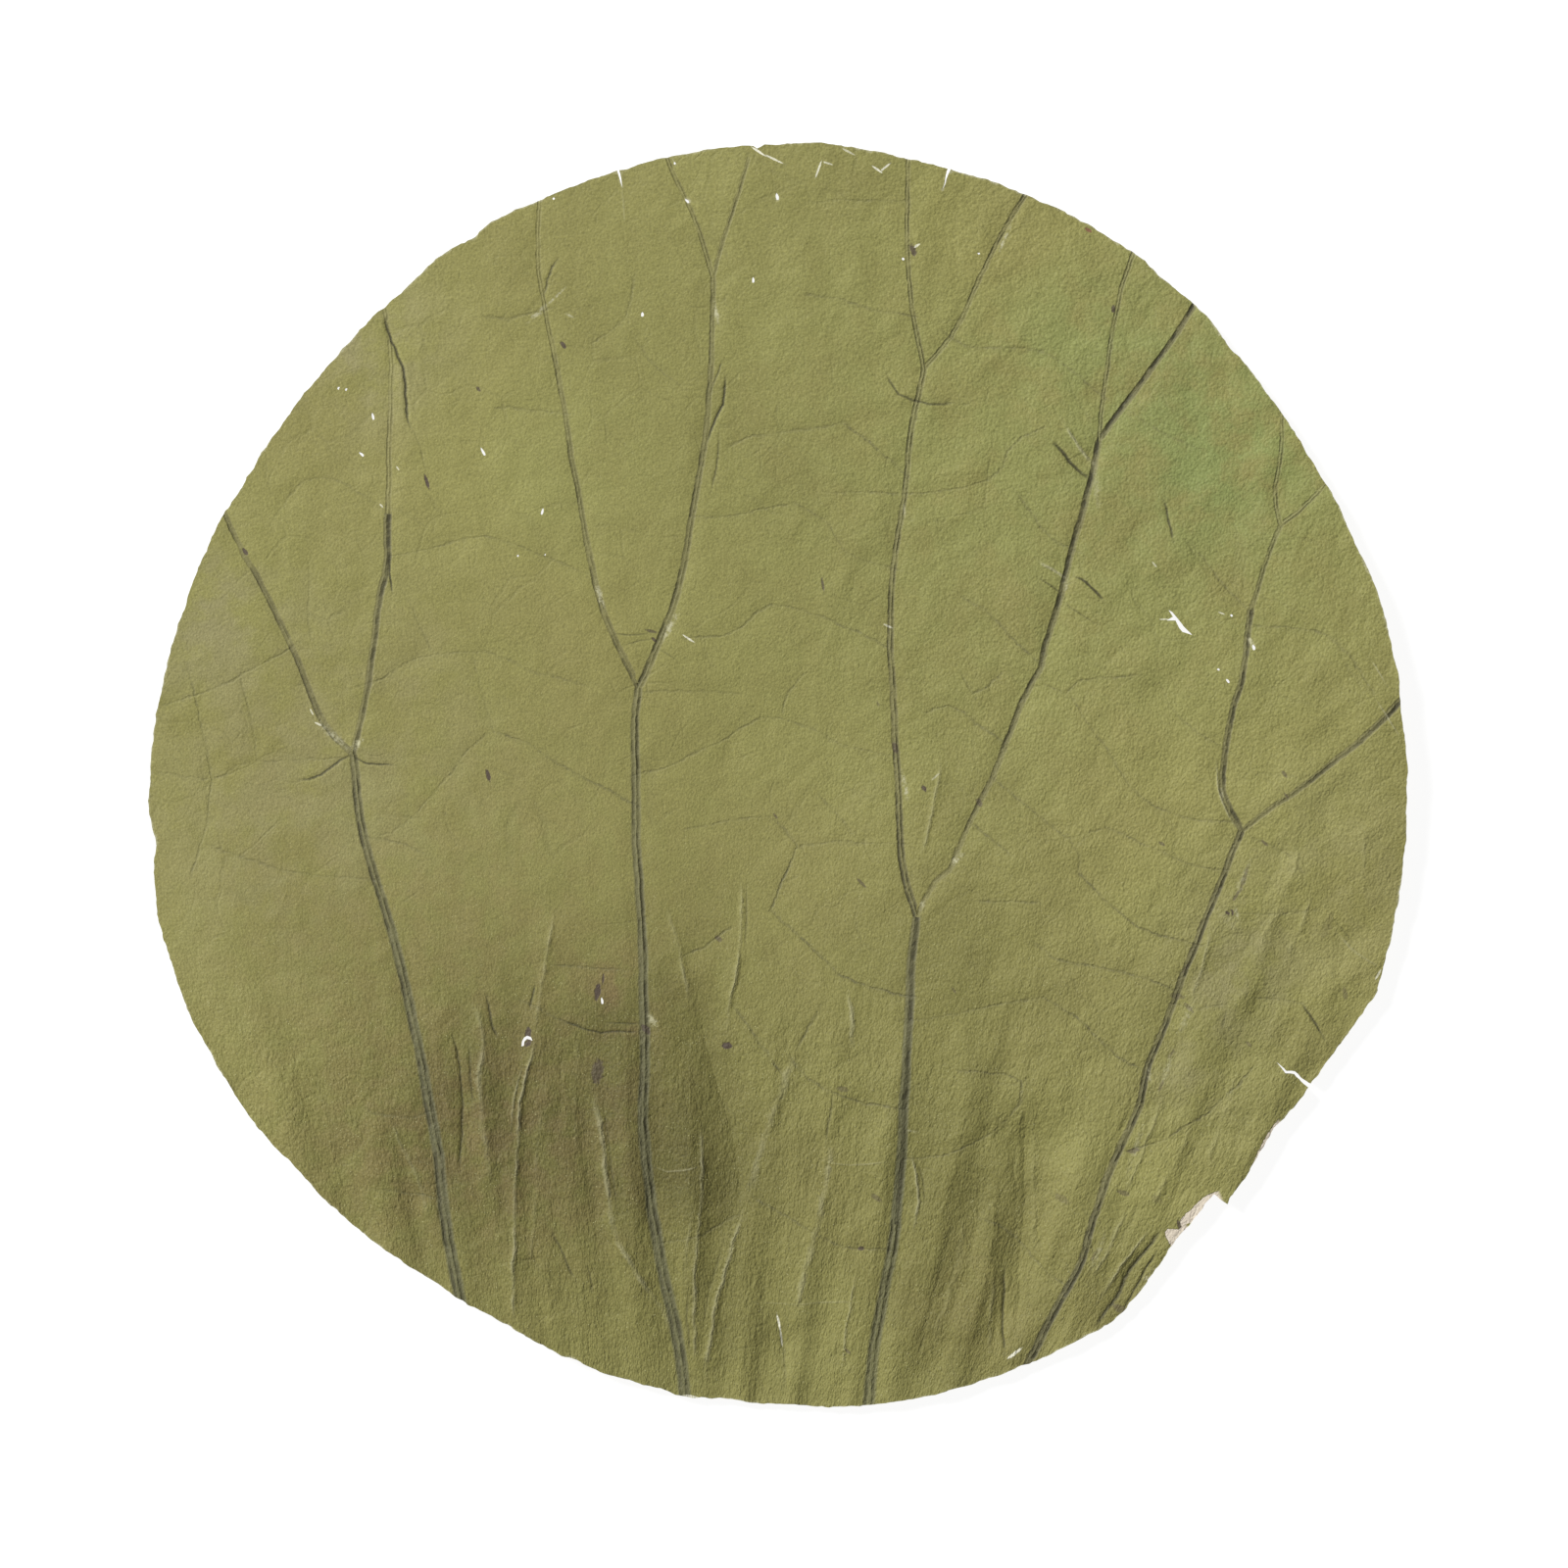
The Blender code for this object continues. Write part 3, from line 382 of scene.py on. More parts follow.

# Fine creases: height, reach and ink, then the route. Ink below zero is a painted shadow along the crease,
# above zero a pale crest, painted highlight as well as rub. Then the marks: both ends, width and strength
FINE_CREASES = [
    (-0.28, 0.7, -1.00, [(-62.7, 74.2), (-61.8, 69.3), (-59.8, 65.4), (-59.2, 60.7), (-59.2, 57.6),
        (-58.3, 54.6)]),
    (-0.10, 0.4, -0.40, [(-58.7, 56.4), (-56.9, 52.0), (-56.0, 47.9)]),
    (-0.20, 0.5, -1.00, [(-61.8, 35.0), (-61.8, 32.0), (-61.5, 28.8)]),
    (-0.25, 0.6, -1.00, [(-8.5, 64.4), (-8.8, 59.4), (-10.4, 56.1), (-11.8, 51.8)]),
    (-0.12, 0.5, -0.60, [(-8.8, 66.4), (-9.6, 64.0), (-10.7, 61.4)]),
    (-0.12, 0.5, -0.60, [(-9.4, 55.4), (-9.6, 51.4), (-10.2, 48.0), (-11.0, 44.0)]),
    (-0.15, 0.6, -0.75, [(16.6, 65.0), (18.2, 61.5), (20.1, 60.0), (22.1, 59.5), (25.2, 59.0), (28.8, 59.3)]),
    (-0.15, 0.6, -0.75, [(-37.3, 76.4), (-36.6, 79.6), (-34.9, 82.3)]),
    (-0.40, 0.9, -1.00, [(42.8, 53.8), (45.6, 50.7), (47.5, 48.7), (50.2, 47.0)]),
    (0.35, 0.8, 0.60, [(44.8, 56.8), (47.2, 52.8), (48.8, 50.6), (50.9, 49.0)]),
    (0.30, 0.7, 0.70, [(40.9, 34.3), (43.4, 32.8), (46.2, 31.0)]),
    (-0.15, 0.5, -0.55, [(40.6, 31.9), (43.0, 30.4), (45.4, 28.7)]),
    (-0.25, 0.6, -1.00, [(46.6, 31.8), (49.1, 30.4), (51.8, 27.6)]),
    (-0.10, 0.4, -0.45, [(47.6, 34.8), (47.9, 32.8)]),
    (-0.20, 0.6, -0.85, [(61.0, 44.4), (61.8, 40.8), (62.5, 36.8)]),
    (-0.08, 0.5, -0.25, [(64.5, 37.3), (65.8, 35.3), (67.5, 32.8)]),
    (-0.12, 0.5, -0.40, [(45.2, 27.6), (48.0, 25.6), (51.0, 23.9)]),
    (-0.15, 0.6, -0.90, [(-77.2, -0.9), (-73.9, -0.2), (-71.5, 1.1), (-69.7, 2.3), (-67.0, 3.9)]),
    (-0.12, 0.5, -0.85, [(-68.0, 3.3), (-66.4, 2.6), (-65.0, 2.0), (-60.8, 1.8)]),
    (0.25, 0.5, 0.60, [(69.4, 2.4), (69.6, -1.8), (70.5, -4.6), (72.6, -8.3)]),
    (0.28, 2.4, 0.03, [(82.3, -10.3), (81.3, -15.7), (80.1, -19.4), (77.4, -24.6), (75.9, -28.1),
        (74.5, -32.7), (72.6, -37.0), (70.4, -40.6), (68.0, -44.2)]),
    (-0.16, 1.6, -0.10, [(79.5, -16.8), (77.6, -21.5), (74.8, -26.4), (72.9, -32.0)]),
    (0.28, 0.8, 0.35, [(68.4, -23.8), (67.8, -28.0), (66.2, -33.0), (65.4, -35.6)]),
    (0.28, 1.2, 0.10, [(92.8, -9.0), (92.8, -13.7), (91.9, -17.6)]),
    (0.24, 0.6, 0.40, [(88.6, -25.0), (89.9, -26.6), (92.4, -28.6), (95.2, -30.3)]),
    (-0.15, 0.5, -0.50, [(88.2, -22.8), (89.6, -24.6), (91.2, -26.6)]),
    (0.20, 0.8, 0.10, [(85.7, -28.6), (87.2, -30.3), (88.2, -32.8)]),
    (-0.15, 0.5, -0.75, [(83.0, -36.0), (84.6, -38.4), (86.4, -41.6)]),
    (-0.12, 0.5, -0.50, [(71.2, -36.4), (70.6, -38.6), (70.0, -41.0)]),
    (0.22, 1.0, 0.10, [(84.4, -17.6), (83.7, -21.5), (81.9, -25.8), (79.8, -30.0)]),
    (0.55, 0.9, 0.45, [(-38.7, -41.8), (-39.7, -45.7), (-40.5, -48.0), (-41.3, -54.3), (-41.7, -60.5),
        (-41.9, -66.8), (-41.9, -73.1), (-42.3, -79.3), (-42.1, -86.0)]),
    (0.22, 0.5, 0.35, [(-40.8, -46.0), (-42.1, -51.2), (-42.6, -57.4)]),
    (0.45, 1.2, 0.30, [(-48.5, -36.4), (-47.2, -40.2), (-46.8, -43.4), (-47.6, -48.0), (-47.2, -53.5),
        (-46.4, -59.0), (-46.0, -64.5)]),
    (-0.30, 0.6, -0.60, [(-52.0, -40.4), (-50.7, -45.7), (-50.3, -51.2), (-50.3, -57.4), (-50.8, -62.8)]),
    (-0.25, 0.6, -0.70, [(-46.5, -34.2), (-45.6, -39.4), (-44.2, -42.4)]),
    (-0.30, 0.7, -0.50, [(-49.1, -42.0), (-48.9, -47.0), (-48.5, -53.0)]),
    (0.40, 0.9, 0.30, [(-35.7, -21.4), (-37.0, -28.5), (-37.8, -34.0), (-38.6, -39.8)]),
    (-0.20, 0.5, -0.75, [(-38.7, -32.8), (-39.2, -35.0), (-39.6, -37.0)]),
    (-0.20, 0.6, -0.60, [(-36.4, -71.2), (-34.2, -76.0), (-31.8, -81.4)]),
    (-0.15, 0.6, -0.50, [(-30.4, -77.6), (-30.0, -79.6), (-29.6, -82.2)]),
    (0.50, 1.2, 0.42, [(-29.5, -49.8), (-28.4, -55.9), (-27.6, -62.0), (-26.8, -69.1), (-25.2, -74.5),
        (-22.5, -79.2), (-19.3, -83.1), (-16.8, -88.4)]),
    (-0.15, 0.6, -0.40, [(-27.8, -52.4), (-27.0, -58.5), (-26.3, -64.0), (-25.5, -69.8)]),
    (0.28, 1.0, 0.12, [(-31.9, -41.7), (-32.2, -47.9), (-32.5, -54.1), (-31.9, -60.3)]),
    (-0.22, 0.9, -0.15, [(-34.4, -43.2), (-34.7, -49.4), (-35.0, -55.7)]),
    (0.25, 0.9, 0.15, [(-37.8, -52.6), (-38.4, -60.3), (-38.7, -68.1), (-39.5, -77.4)]),
    (0.25, 0.9, 0.15, [(-61.6, -54.6), (-59.4, -59.6), (-57.0, -64.4), (-55.6, -70.4)]),
    (-0.20, 0.5, -0.70, [(-20.9, -40.2), (-23.6, -40.6), (-26.0, -40.5), (-28.0, -40.8), (-31.4, -39.9),
        (-35.4, -38.4)]),
    (-0.12, 0.4, -0.55, [(-21.3, -39.3), (-24.3, -39.2), (-27.8, -39.1)]),
    (0.50, 0.9, 0.45, [(-12.2, -55.0), (-12.4, -62.0), (-12.3, -66.7), (-12.7, -71.4), (-13.2, -77.7),
        (-13.5, -83.1), (-13.4, -92.6)]),
    (0.30, 0.8, 0.25, [(-13.6, -67.5), (-14.5, -73.8), (-15.2, -79.6)]),
    (-0.30, 0.6, -0.50, [(-14.4, -80.9), (-14.6, -86.0), (-14.1, -92.8)]),
    (0.62, 1.1, 0.50, [(-5.5, -68.4), (-6.8, -73.0), (-8.0, -76.9), (-9.2, -80.8), (-10.3, -85.5),
        (-11.1, -90.2), (-11.9, -95.6)]),
    (-0.30, 0.8, -0.40, [(-8.3, -72.4), (-9.8, -77.4), (-11.1, -82.0), (-12.1, -87.6)]),
    (0.25, 1.7, 0.30, [(2.3, -44.2), (0.6, -49.5), (-1.4, -55.0), (-2.9, -59.7), (-4.4, -64.8),
        (-5.4, -67.6)]),
    (-0.20, 0.7, -0.50, [(2.6, -44.0), (4.9, -39.4), (6.8, -36.0)]),
    (0.26, 1.4, 0.36, [(8.4, -58.4), (7.2, -65.9), (5.7, -72.2), (4.1, -78.4), (2.8, -85.4)]),
    (-0.20, 0.6, -0.45, [(8.5, -50.0), (8.1, -54.0), (7.2, -58.8)]),
    (0.45, 0.7, 0.55, [(20.7, -58.6), (21.8, -63.4), (22.1, -66.5), (21.3, -72.4)]),
    (-0.20, 0.5, -0.35, [(21.8, -60.0), (23.0, -64.8), (23.0, -69.0)]),
    (-0.30, 0.9, -0.28, [(-1.7, -84.3), (0.0, -86.1), (0.6, -90.5), (0.9, -94.5), (1.2, -98.9)]),
    (0.25, 0.7, 0.30, [(12.2, -79.4), (11.2, -84.4), (10.4, -90.2), (9.8, -95.2)]),
    (-0.20, 0.6, -0.25, [(11.8, -83.0), (11.0, -88.3), (10.4, -94.2)]),
    (0.40, 0.8, 0.25, [(-6.2, -16.5), (-5.9, -21.5), (-6.2, -26.4), (-6.7, -30.8), (-7.8, -35.5),
        (-8.4, -41.4)]),
    (-0.15, 0.5, -0.45, [(-5.2, -16.0), (-5.2, -22.5), (-5.6, -28.4)]),
    (0.34, 1.0, 0.25, [(-17.6, -21.4), (-16.3, -26.1), (-15.2, -30.8), (-14.3, -35.8)]),
    (0.36, 1.1, 0.50, [(10.9, -34.4), (11.4, -38.0), (11.5, -43.8)]),
    (0.30, 0.8, 0.25, [(25.7, 3.4), (24.8, -3.5), (22.7, -13.0)]),
    (-0.20, 1.2, -0.12, [(-14.8, -41.7), (-13.5, -47.9), (-12.3, -54.1)]),
    (0.28, 1.6, 0.05, [(29.7, -68.9), (28.5, -77.4), (26.0, -85.2), (24.1, -92.2)]),
    (-0.25, 1.4, -0.12, [(27.7, -69.7), (26.0, -77.4), (23.8, -85.2), (21.9, -93.3)]),
    (-0.30, 1.8, -0.08, [(37.5, -53.0), (37.6, -61.9), (37.5, -69.7), (37.3, -77.4)]),
    (0.40, 1.8, 0.05, [(40.1, -51.6), (40.4, -61.9), (40.5, -70.4), (40.2, -77.4)]),
    (-0.40, 0.6, -0.75, [(35.9, -77.2), (35.6, -82.4), (35.6, -88.0), (36.0, -93.0)]),
    (0.30, 0.9, 0.15, [(34.2, -79.0), (33.7, -85.2), (33.4, -92.2)]),
    (-0.40, 0.9, -0.90, [(61.2, -71.5), (57.7, -76.1), (55.4, -79.2), (53.8, -82.4), (51.5, -85.5),
        (49.6, -88.2)]),
    (0.35, 0.8, 0.35, [(58.8, -71.8), (56.4, -75.2), (54.0, -78.4), (52.0, -81.6), (50.0, -84.6)]),
    (-0.35, 0.5, -0.85, [(60.6, -74.6), (57.9, -78.9), (55.6, -83.1), (54.4, -86.2)]),
    (0.10, 0.4, 0.55, [(94.5, 12.0), (95.8, 10.3), (97.0, 8.3), (98.6, 6.0)]),
    (0.10, 0.4, 0.55, [(93.6, 18.8), (94.9, 16.6), (96.4, 14.0)]),
    (-0.15, 0.5, -0.40, [(48.8, -72.2), (49.6, -74.0), (49.9, -76.0)]),
    (0.28, 1.0, 0.20, [(55.2, -68.9), (53.3, -73.1), (51.2, -77.1), (49.3, -80.9)]),
    (-0.22, 1.0, -0.12, [(57.5, -67.3), (55.5, -71.5), (53.3, -75.3)]),
    (0.28, 1.0, 0.12, [(66.4, -54.1), (63.9, -59.1), (61.4, -64.2), (58.6, -68.4)]),
    (-0.18, 0.9, -0.10, [(69.2, -52.6), (67.3, -57.2), (64.8, -61.9)]),
    (0.25, 0.9, 0.12, [(60.8, -51.0), (59.2, -55.7), (56.8, -61.9), (54.6, -66.9)]),
    (0.25, 1.2, 0.08, [(72.9, -46.3), (71.1, -52.6), (69.2, -58.0), (68.0, -62.8)]),
    (-0.06, 0.4, -0.55, [(-26.4, 22.9), (-25.0, 22.5), (-22.6, 22.4), (-20.1, 23.0)]),
    (-0.06, 0.4, -0.50, [(-24.2, 20.9), (-22.6, 21.3), (-21.1, 21.8), (-19.7, 22.0)]),
    (-0.05, 0.4, -0.40, [(-18.7, 20.0), (-17.6, 19.1), (-16.4, 18.5)]),
    (0.06, 0.4, 0.30, [(-3.8, -83.5), (1.8, -83.9), (7.4, -83.6), (12.8, -83.6)]),
    (0.08, 0.4, 0.50, [(-20.2, -61.9), (-17.0, -62.8), (-12.6, -62.0)]),
    (0.06, 0.4, 0.35, [(6.8, -61.1), (11.1, -61.8), (18.0, -61.2)]),
    (0.06, 0.4, 0.45, [(-24.9, 93.6), (-24.7, 91.0), (-24.5, 88.2)]),
]
DARK_MARKS = [
    ((-56.2, 47.6), (-55.7, 46.0), 0.55, 0.95), ((-46.4, 0.8), (-46.0, -0.5), 0.65, 0.95),
    ((-34.4, 68.7), (-34.1, 68.2), 0.75, 0.90), ((6.8, 31.4), (7.1, 29.6), 0.40, 0.75),
    ((21.1, 84.0), (21.5, 82.9), 0.93, 0.85), ((53.1, 74.5), (53.1, 73.8), 0.62, 0.85),
    ((22.9, -1.7), (23.2, -2.2), 0.62, 0.90), ((-28.7, -45.9), (-29.0, -47.9), 1.90, 0.70),
    ((-8.5, -42.8), (-8.0, -42.8), 1.10, 0.95), ((9.5, -49.6), (10.7, -49.8), 0.93, 0.45),
    ((12.8, -75.0), (13.3, -75.0), 0.65, 0.85), ((-28.7, -33.4), (-29.0, -35.2), 0.95, 0.95),
    ((-27.9, -31.6), (-28.0, -32.8), 0.39, 0.85), ((-39.9, -41.5), (-39.8, -40.2), 1.00, 0.90),
    ((-40.0, -42.5), (-39.6, -42.2), 0.90, 0.85), ((71.0, -21.6), (71.3, -21.8), 0.50, 0.90),
    ((71.8, -21.4), (72.0, -21.9), 0.50, 0.85), ((62.4, -34.8), (63.9, -35.1), 0.93, 0.35),
    ((55.7, -59.6), (56.8, -59.4), 0.78, 0.60), ((54.2, -66.0), (55.4, -66.4), 0.80, 0.50),
    ((80.2, -2.8), (80.7, -3.4), 0.39, 0.60), ((60.5, -10.6), (61.1, -10.9), 0.47, 0.60),
    ((79.9, 0.6), (80.4, 0.0), 0.62, 0.55), ((-21.0, 23.2), (-19.7, 22.9), 0.47, 0.70),
    ((-20.1, 21.9), (-19.6, 21.5), 0.47, 0.85), ((-0.8, -6.1), (-0.3, -6.7), 0.39, 0.60),
    ((72.2, -19.6), (72.8, -18.5), 0.54, 0.60), ((64.8, -30.0), (64.2, -31.1), 0.47, 0.40),
    ((53.6, -84.3), (55.2, -85.2), 1.24, 0.50), ((63.4, -70.8), (63.9, -72.0), 0.62, 0.80),
    ((15.6, 11.8), (15.9, 11.2), 0.39, 0.40), ((-21.4, -39.9), (-20.8, -40.6), 1.00, 0.75),
    ((59.6, -66.9), (60.5, -67.5), 1.09, 0.20), ((44.3, -66.7), (45.6, -67.5), 1.24, 0.30),
    ((15.1, -66.7), (15.9, -67.3), 0.90, 0.45), ((89.7, -33.9), (90.0, -35.1), 0.78, 0.40),
    ((76.7, -10.3), (77.4, -10.9), 0.47, 0.60), ((10.6, -91.1), (11.2, -91.6), 0.47, 0.55),
    ((12.4, -16.3), (13.8, -17.7), 0.45, 0.60), ((27.5, -33.7), (28.1, -34.4), 0.39, 0.45),
    ((74.4, -14.6), (73.2, -18.2), 0.60, 0.45), ((64.4, -36.1), (65.6, -37.3), 0.60, 0.40),
    ((62.7, -43.6), (61.9, -44.6), 0.50, 0.40), ((60.9, -48.6), (60.3, -50.0), 0.50, 0.40),
    ((50.3, -75.6), (49.7, -76.8), 0.50, 0.40), ((87.6, -22.2), (86.4, -25.4), 1.20, 0.18),
    ((-84.9, 35.9), (-84.5, 35.3), 0.60, 0.90), ((-47.9, 61.7), (-47.6, 61.3), 0.45, 0.80),
    ((18.3, 5.0), (18.6, 4.0), 0.90, 0.70), ((31.6, -3.8), (32.0, -4.5), 0.80, 0.60),
    ((-9.8, -25.7), (-9.4, -26.0), 0.80, 0.55), ((74.3, -42.3), (74.8, -42.8), 0.60, 0.45),
]
RED_MARKS = [
    ((48.8, 86.9), (49.4, 86.6), 0.54, 0.90),
]
PALE_MARKS = [
    ((-14.9, -98.4), (-12.6, -98.9), 0.50, 0.80), ((-6.5, -99.2), (-5.6, -99.4), 0.40, 0.70),
    ((21.6, 84.0), (22.2, 84.4), 0.37, 0.80), ((-4.2, 99.7), (-2.2, 98.4), 0.34, 1.00),
    ((-2.3, 98.6), (0.6, 97.2), 0.31, 0.80), ((5.8, 95.0), (6.7, 97.5), 0.31, 0.80),
    ((6.7, 97.5), (8.4, 97.0), 0.28, 0.60), ((14.9, 96.7), (16.2, 95.8), 0.34, 0.90),
    ((15.9, 95.8), (17.6, 97.2), 0.31, 0.90), ((-15.2, 22.4), (-13.5, 21.3), 0.31, 0.80),
    ((16.8, 24.1), (17.9, 23.6), 0.34, 0.50), ((-73.6, 8.5), (-72.8, 8.1), 0.34, 0.70),
    ((-0.3, -85.6), (0.2, -88.0), 0.34, 0.90), ((0.2, -88.0), (0.5, -90.5), 0.31, 0.60),
    ((36.5, -92.4), (38.3, -91.0), 0.50, 1.00), ((59.3, 33.9), (59.8, 33.3), 0.28, 0.45),
    ((60.5, 24.9), (61.7, 24.9), 0.28, 0.60), ((94.7, -32.2), (95.5, -30.8), 0.34, 0.60),
    ((24.4, -0.5), (25.3, 0.3), 0.31, 0.30), ((10.1, 99.5), (11.8, 98.6), 0.31, 0.50),
    ((69.8, 26.0), (70.6, 25.7), 0.24, 0.60), ((-74.4, 10.6), (-74.0, 9.8), 0.30, 0.60),
    ((-60.7, 49.1), (-60.4, 48.7), 0.28, 0.60), ((-63.3, 43.1), (-63.0, 42.8), 0.28, 0.70),
]
RUBS = [
    ((-29.0, 30.4), (-28.0, 27.0), 1.05, 1.00), ((-18.3, 22.0), (-16.3, 25.6), 1.20, 0.90),
    ((-73.2, 8.5), (-68.6, 4.6), 1.60, 0.60), ((-67.8, 4.2), (-66.4, 5.8), 1.30, 0.85),
    ((-10.1, 74.8), (-9.7, 71.8), 0.80, 0.80), ((19.6, 0.6), (20.3, -3.4), 0.90, 0.80),
    ((27.7, -13.8), (28.8, -12.6), 1.20, 0.85), ((45.3, 29.2), (45.9, 31.1), 0.78, 0.50),
    ((-20.5, -38.2), (-19.7, -39.6), 1.30, 0.85), ((-39.5, 72.4), (-36.8, 74.8), 0.90, 0.85),
    ((-37.0, 74.6), (-33.9, 77.6), 0.50, 0.70), ((-33.9, 73.4), (-32.6, 72.8), 0.50, 0.60),
    ((50.1, 49.1), (50.7, 43.1), 1.24, 0.38), ((58.0, -80.0), (59.4, -78.2), 1.10, 0.60),
    ((34.9, 83.2), (36.8, 87.4), 0.70, 0.80), ((69.7, -21.5), (72.6, -23.8), 2.49, 0.15),
    ((70.0, -1.4), (70.5, -4.7), 0.70, 0.60), ((74.9, -13.4), (72.4, -19.2), 1.50, 0.35),
    ((65.8, -35.6), (63.6, -41.0), 1.30, 0.35), ((62.6, -43.9), (60.6, -49.2), 1.20, 0.35),
    ((57.8, -55.4), (55.4, -63.0), 1.30, 0.30), ((51.6, -73.0), (49.6, -78.4), 1.10, 0.35),
    ((72.4, -21.0), (72.8, -22.6), 0.90, 0.50), ((19.8, 43.2), (20.0, 41.4), 0.60, 0.65),
    ((58.6, -46.6), (59.0, -48.4), 0.80, 0.55), ((74.4, 22.0), (75.4, 20.4), 0.90, 0.70),
    ((22.4, -21.2), (23.0, -19.8), 0.90, 0.50), ((20.4, -56.2), (22.0, -56.6), 0.50, 0.55),
]

# Wide folds, drawn in the upper skin's bump as if the blade bent from one plane to another: depth, reach to
# each side and route
FOLDS = [
    (1.8, 9.0, [(38.9, -50.0), (39.0, -62.0), (38.9, -72.0), (38.6, -79.2), (37.4, -85.5), (36.6, -93.0)]),
    (0.8, 7.0, [(-13.8, -31.0), (-11.7, -41.7), (-9.2, -51.0), (-6.9, -59.1), (-6.2, -66.5), (-7.3, -72.8)]),
    (0.8, 5.0, [(-1.2, -82.5), (0.2, -88.0), (0.5, -96.9)]),
    (0.5, 5.0, [(32.0, -60.0), (31.5, -72.0), (29.0, -84.0)]),
]

# Pinholes: centre and radius
PINHOLES = [
    (-69.9, 61.6, 0.28), (-68.7, 61.4, 0.26), (-37.2, 35.2, 0.16),
    (-41.5, 35.0, 0.18), (-35.8, 91.7, 0.20), (31.7, 83.0, 0.20),
    (19.7, 82.1, 0.24), (71.8, 25.5, 0.22), (69.7, 16.9, 0.22), (-16.6, 97.3, 0.20),
]

# Nicks and shallow bites in the rim: middle, half width and depth
NICKS = [
    ((-47.6, 84.9), 1.5, 1.2), ((-3.4, 99.8), 0.9, 1.0), ((-59.7, 77.7), 7.0, 0.5), ((-88.6, 43.6), 1.4, 0.6),
    ((99.4, 10.0), 6.0, 0.35), ((84.9, 46.9), 3.0, 0.4), ((52.0, 84.0), 4.0, 0.3), ((-62.7, 74.6), 1.2, 0.5),
]

# Torn layer at the near right corner: its edge runs with the bare, pale side on its right
TORN_EDGES = [
    [(62.2, -74.6), (61.5, -73.4), (61.2, -72.3), (61.9, -71.8), (63.0, -71.9), (63.9, -71.8), (63.6, -70.5),
        (65.5, -68.6), (67.3, -66.9), (68.9, -66.1)],
    [(74.9, -62.2), (75.7, -60.2), (77.0, -57.6), (78.6, -55.2)],
]

# Soft stains and painted shade of the upper face: middle, radius, and how much darker, greener and browner,
# where what is left out is none. Below zero, greener is greyer and darker is lighter. The darker share is
# painted shade as well as stain: a broad painted shadow over the near left, and the dark and light sides of
# folds. Greener and browner are the skin's own tint.
STAINS_AND_SHADE = [
    ((-40.5, -54.0), 30.0, 0.42), ((31.0, -64.0), 14.0, 0.26), ((3.0, -56.0), 26.0, 0.07),
    ((-13.0, -62.0), 11.0, 0.28), ((-14.0, -44.0), 9.0, 0.16), ((26.0, -88.0), 12.0, 0.24),
    ((-46.0, 54.0), 34.0, -0.07), ((56.0, -84.0), 10.0, 0.20), ((72.0, -54.0), 14.0, 0.03),
    ((72.0, 54.0), 20.0, 0.00, 0.45), ((44.3, 72.8), 10.0, 0.0, 0.40), ((67.0, 47.0), 8.0, 0.02, 0.35),
    ((-36.0, 48.0), 14.0, 0.0, 0.15), ((86.0, -16.0), 20.0, -0.04, -0.35),
    ((-86.0, -12.0), 22.0, -0.03, -0.25), ((44.0, -60.0), 9.0, -0.05), ((72.0, -32.0), 9.0, 0.05, -0.6),
    ((66.0, -48.0), 8.0, 0.00, -0.5), ((56.0, 45.0), 40.0, -0.05), ((-27.0, -40.0), 6.0, 0.16, 0.0, 0.2),
    ((-8.0, -68.0), 7.0, 0.12), ((63.0, -63.0), 9.0, -0.10), ((-77.0, -24.0), 14.0, 0.08),
    ((50.0, -17.0), 15.0, -0.07), ((70.0, -9.0), 10.0, -0.05), ((-30.0, 22.0), 14.0, -0.04),
    ((24.0, 14.0), 12.0, 0.05), ((-17.4, -33.3), 4.5, 0.16), ((-26.5, -31.0), 4.5, 0.02, 0.0, 0.3),
    ((-24.5, -37.0), 4.0, 0.05, 0.0, 0.6), ((-38.0, -61.0), 15.0, 0.03, 0.0, 0.34),
    ((-48.0, -50.0), 9.0, 0.06, 0.0, 0.15), ((30.0, -81.0), 10.0, 0.0, 0.0, 0.12),
    ((-25.0, -52.0), 5.5, 0.10, 0.0, 0.2), ((-23.5, -66.0), 5.0, 0.08, 0.0, 0.1),
    ((27.0, -29.0), 14.0, 0.20), ((88.0, -28.0), 13.0, -0.09), ((-14.5, -22.0), 9.0, 0.13),
    ((-10.0, -86.0), 11.0, 0.18), ((-24.0, 70.0), 20.0, 0.09), ((-7.0, 49.0), 11.0, 0.07),
    ((37.0, 86.0), 16.0, -0.10, -0.30), ((79.0, 54.0), 10.0, -0.10, 0.30), ((57.0, 2.0), 11.0, -0.11),
    ((53.0, 40.0), 13.0, 0.07), ((32.0, -5.0), 9.0, 0.08), ((-66.0, 68.0), 13.0, -0.02, -0.8),
    ((-92.0, 26.0), 12.0, -0.06, -0.7), ((82.0, -6.0), 8.0, -0.05), ((-61.0, -60.0), 13.0, 0.08, 0.0, 0.3),
    ((44.0, 52.0), 48.0, 0.00, 0.36), ((-50.0, -34.0), 38.0, 0.00, 0.0, 0.26),
    ((-68.0, 6.0), 28.0, 0.00, -0.40), ((60.0, 63.0), 9.0, 0.05, 0.25),
]


def smooth_step(value):
    """Ease from 0 at value 0 to 1 at value 1, flat at both ends."""
    clamped = np.clip(value, 0.0, 1.0)
    return clamped * clamped * (3.0 - 2.0 * clamped)


# Routes and how far points are from them

ROUTE_STEPS = 12


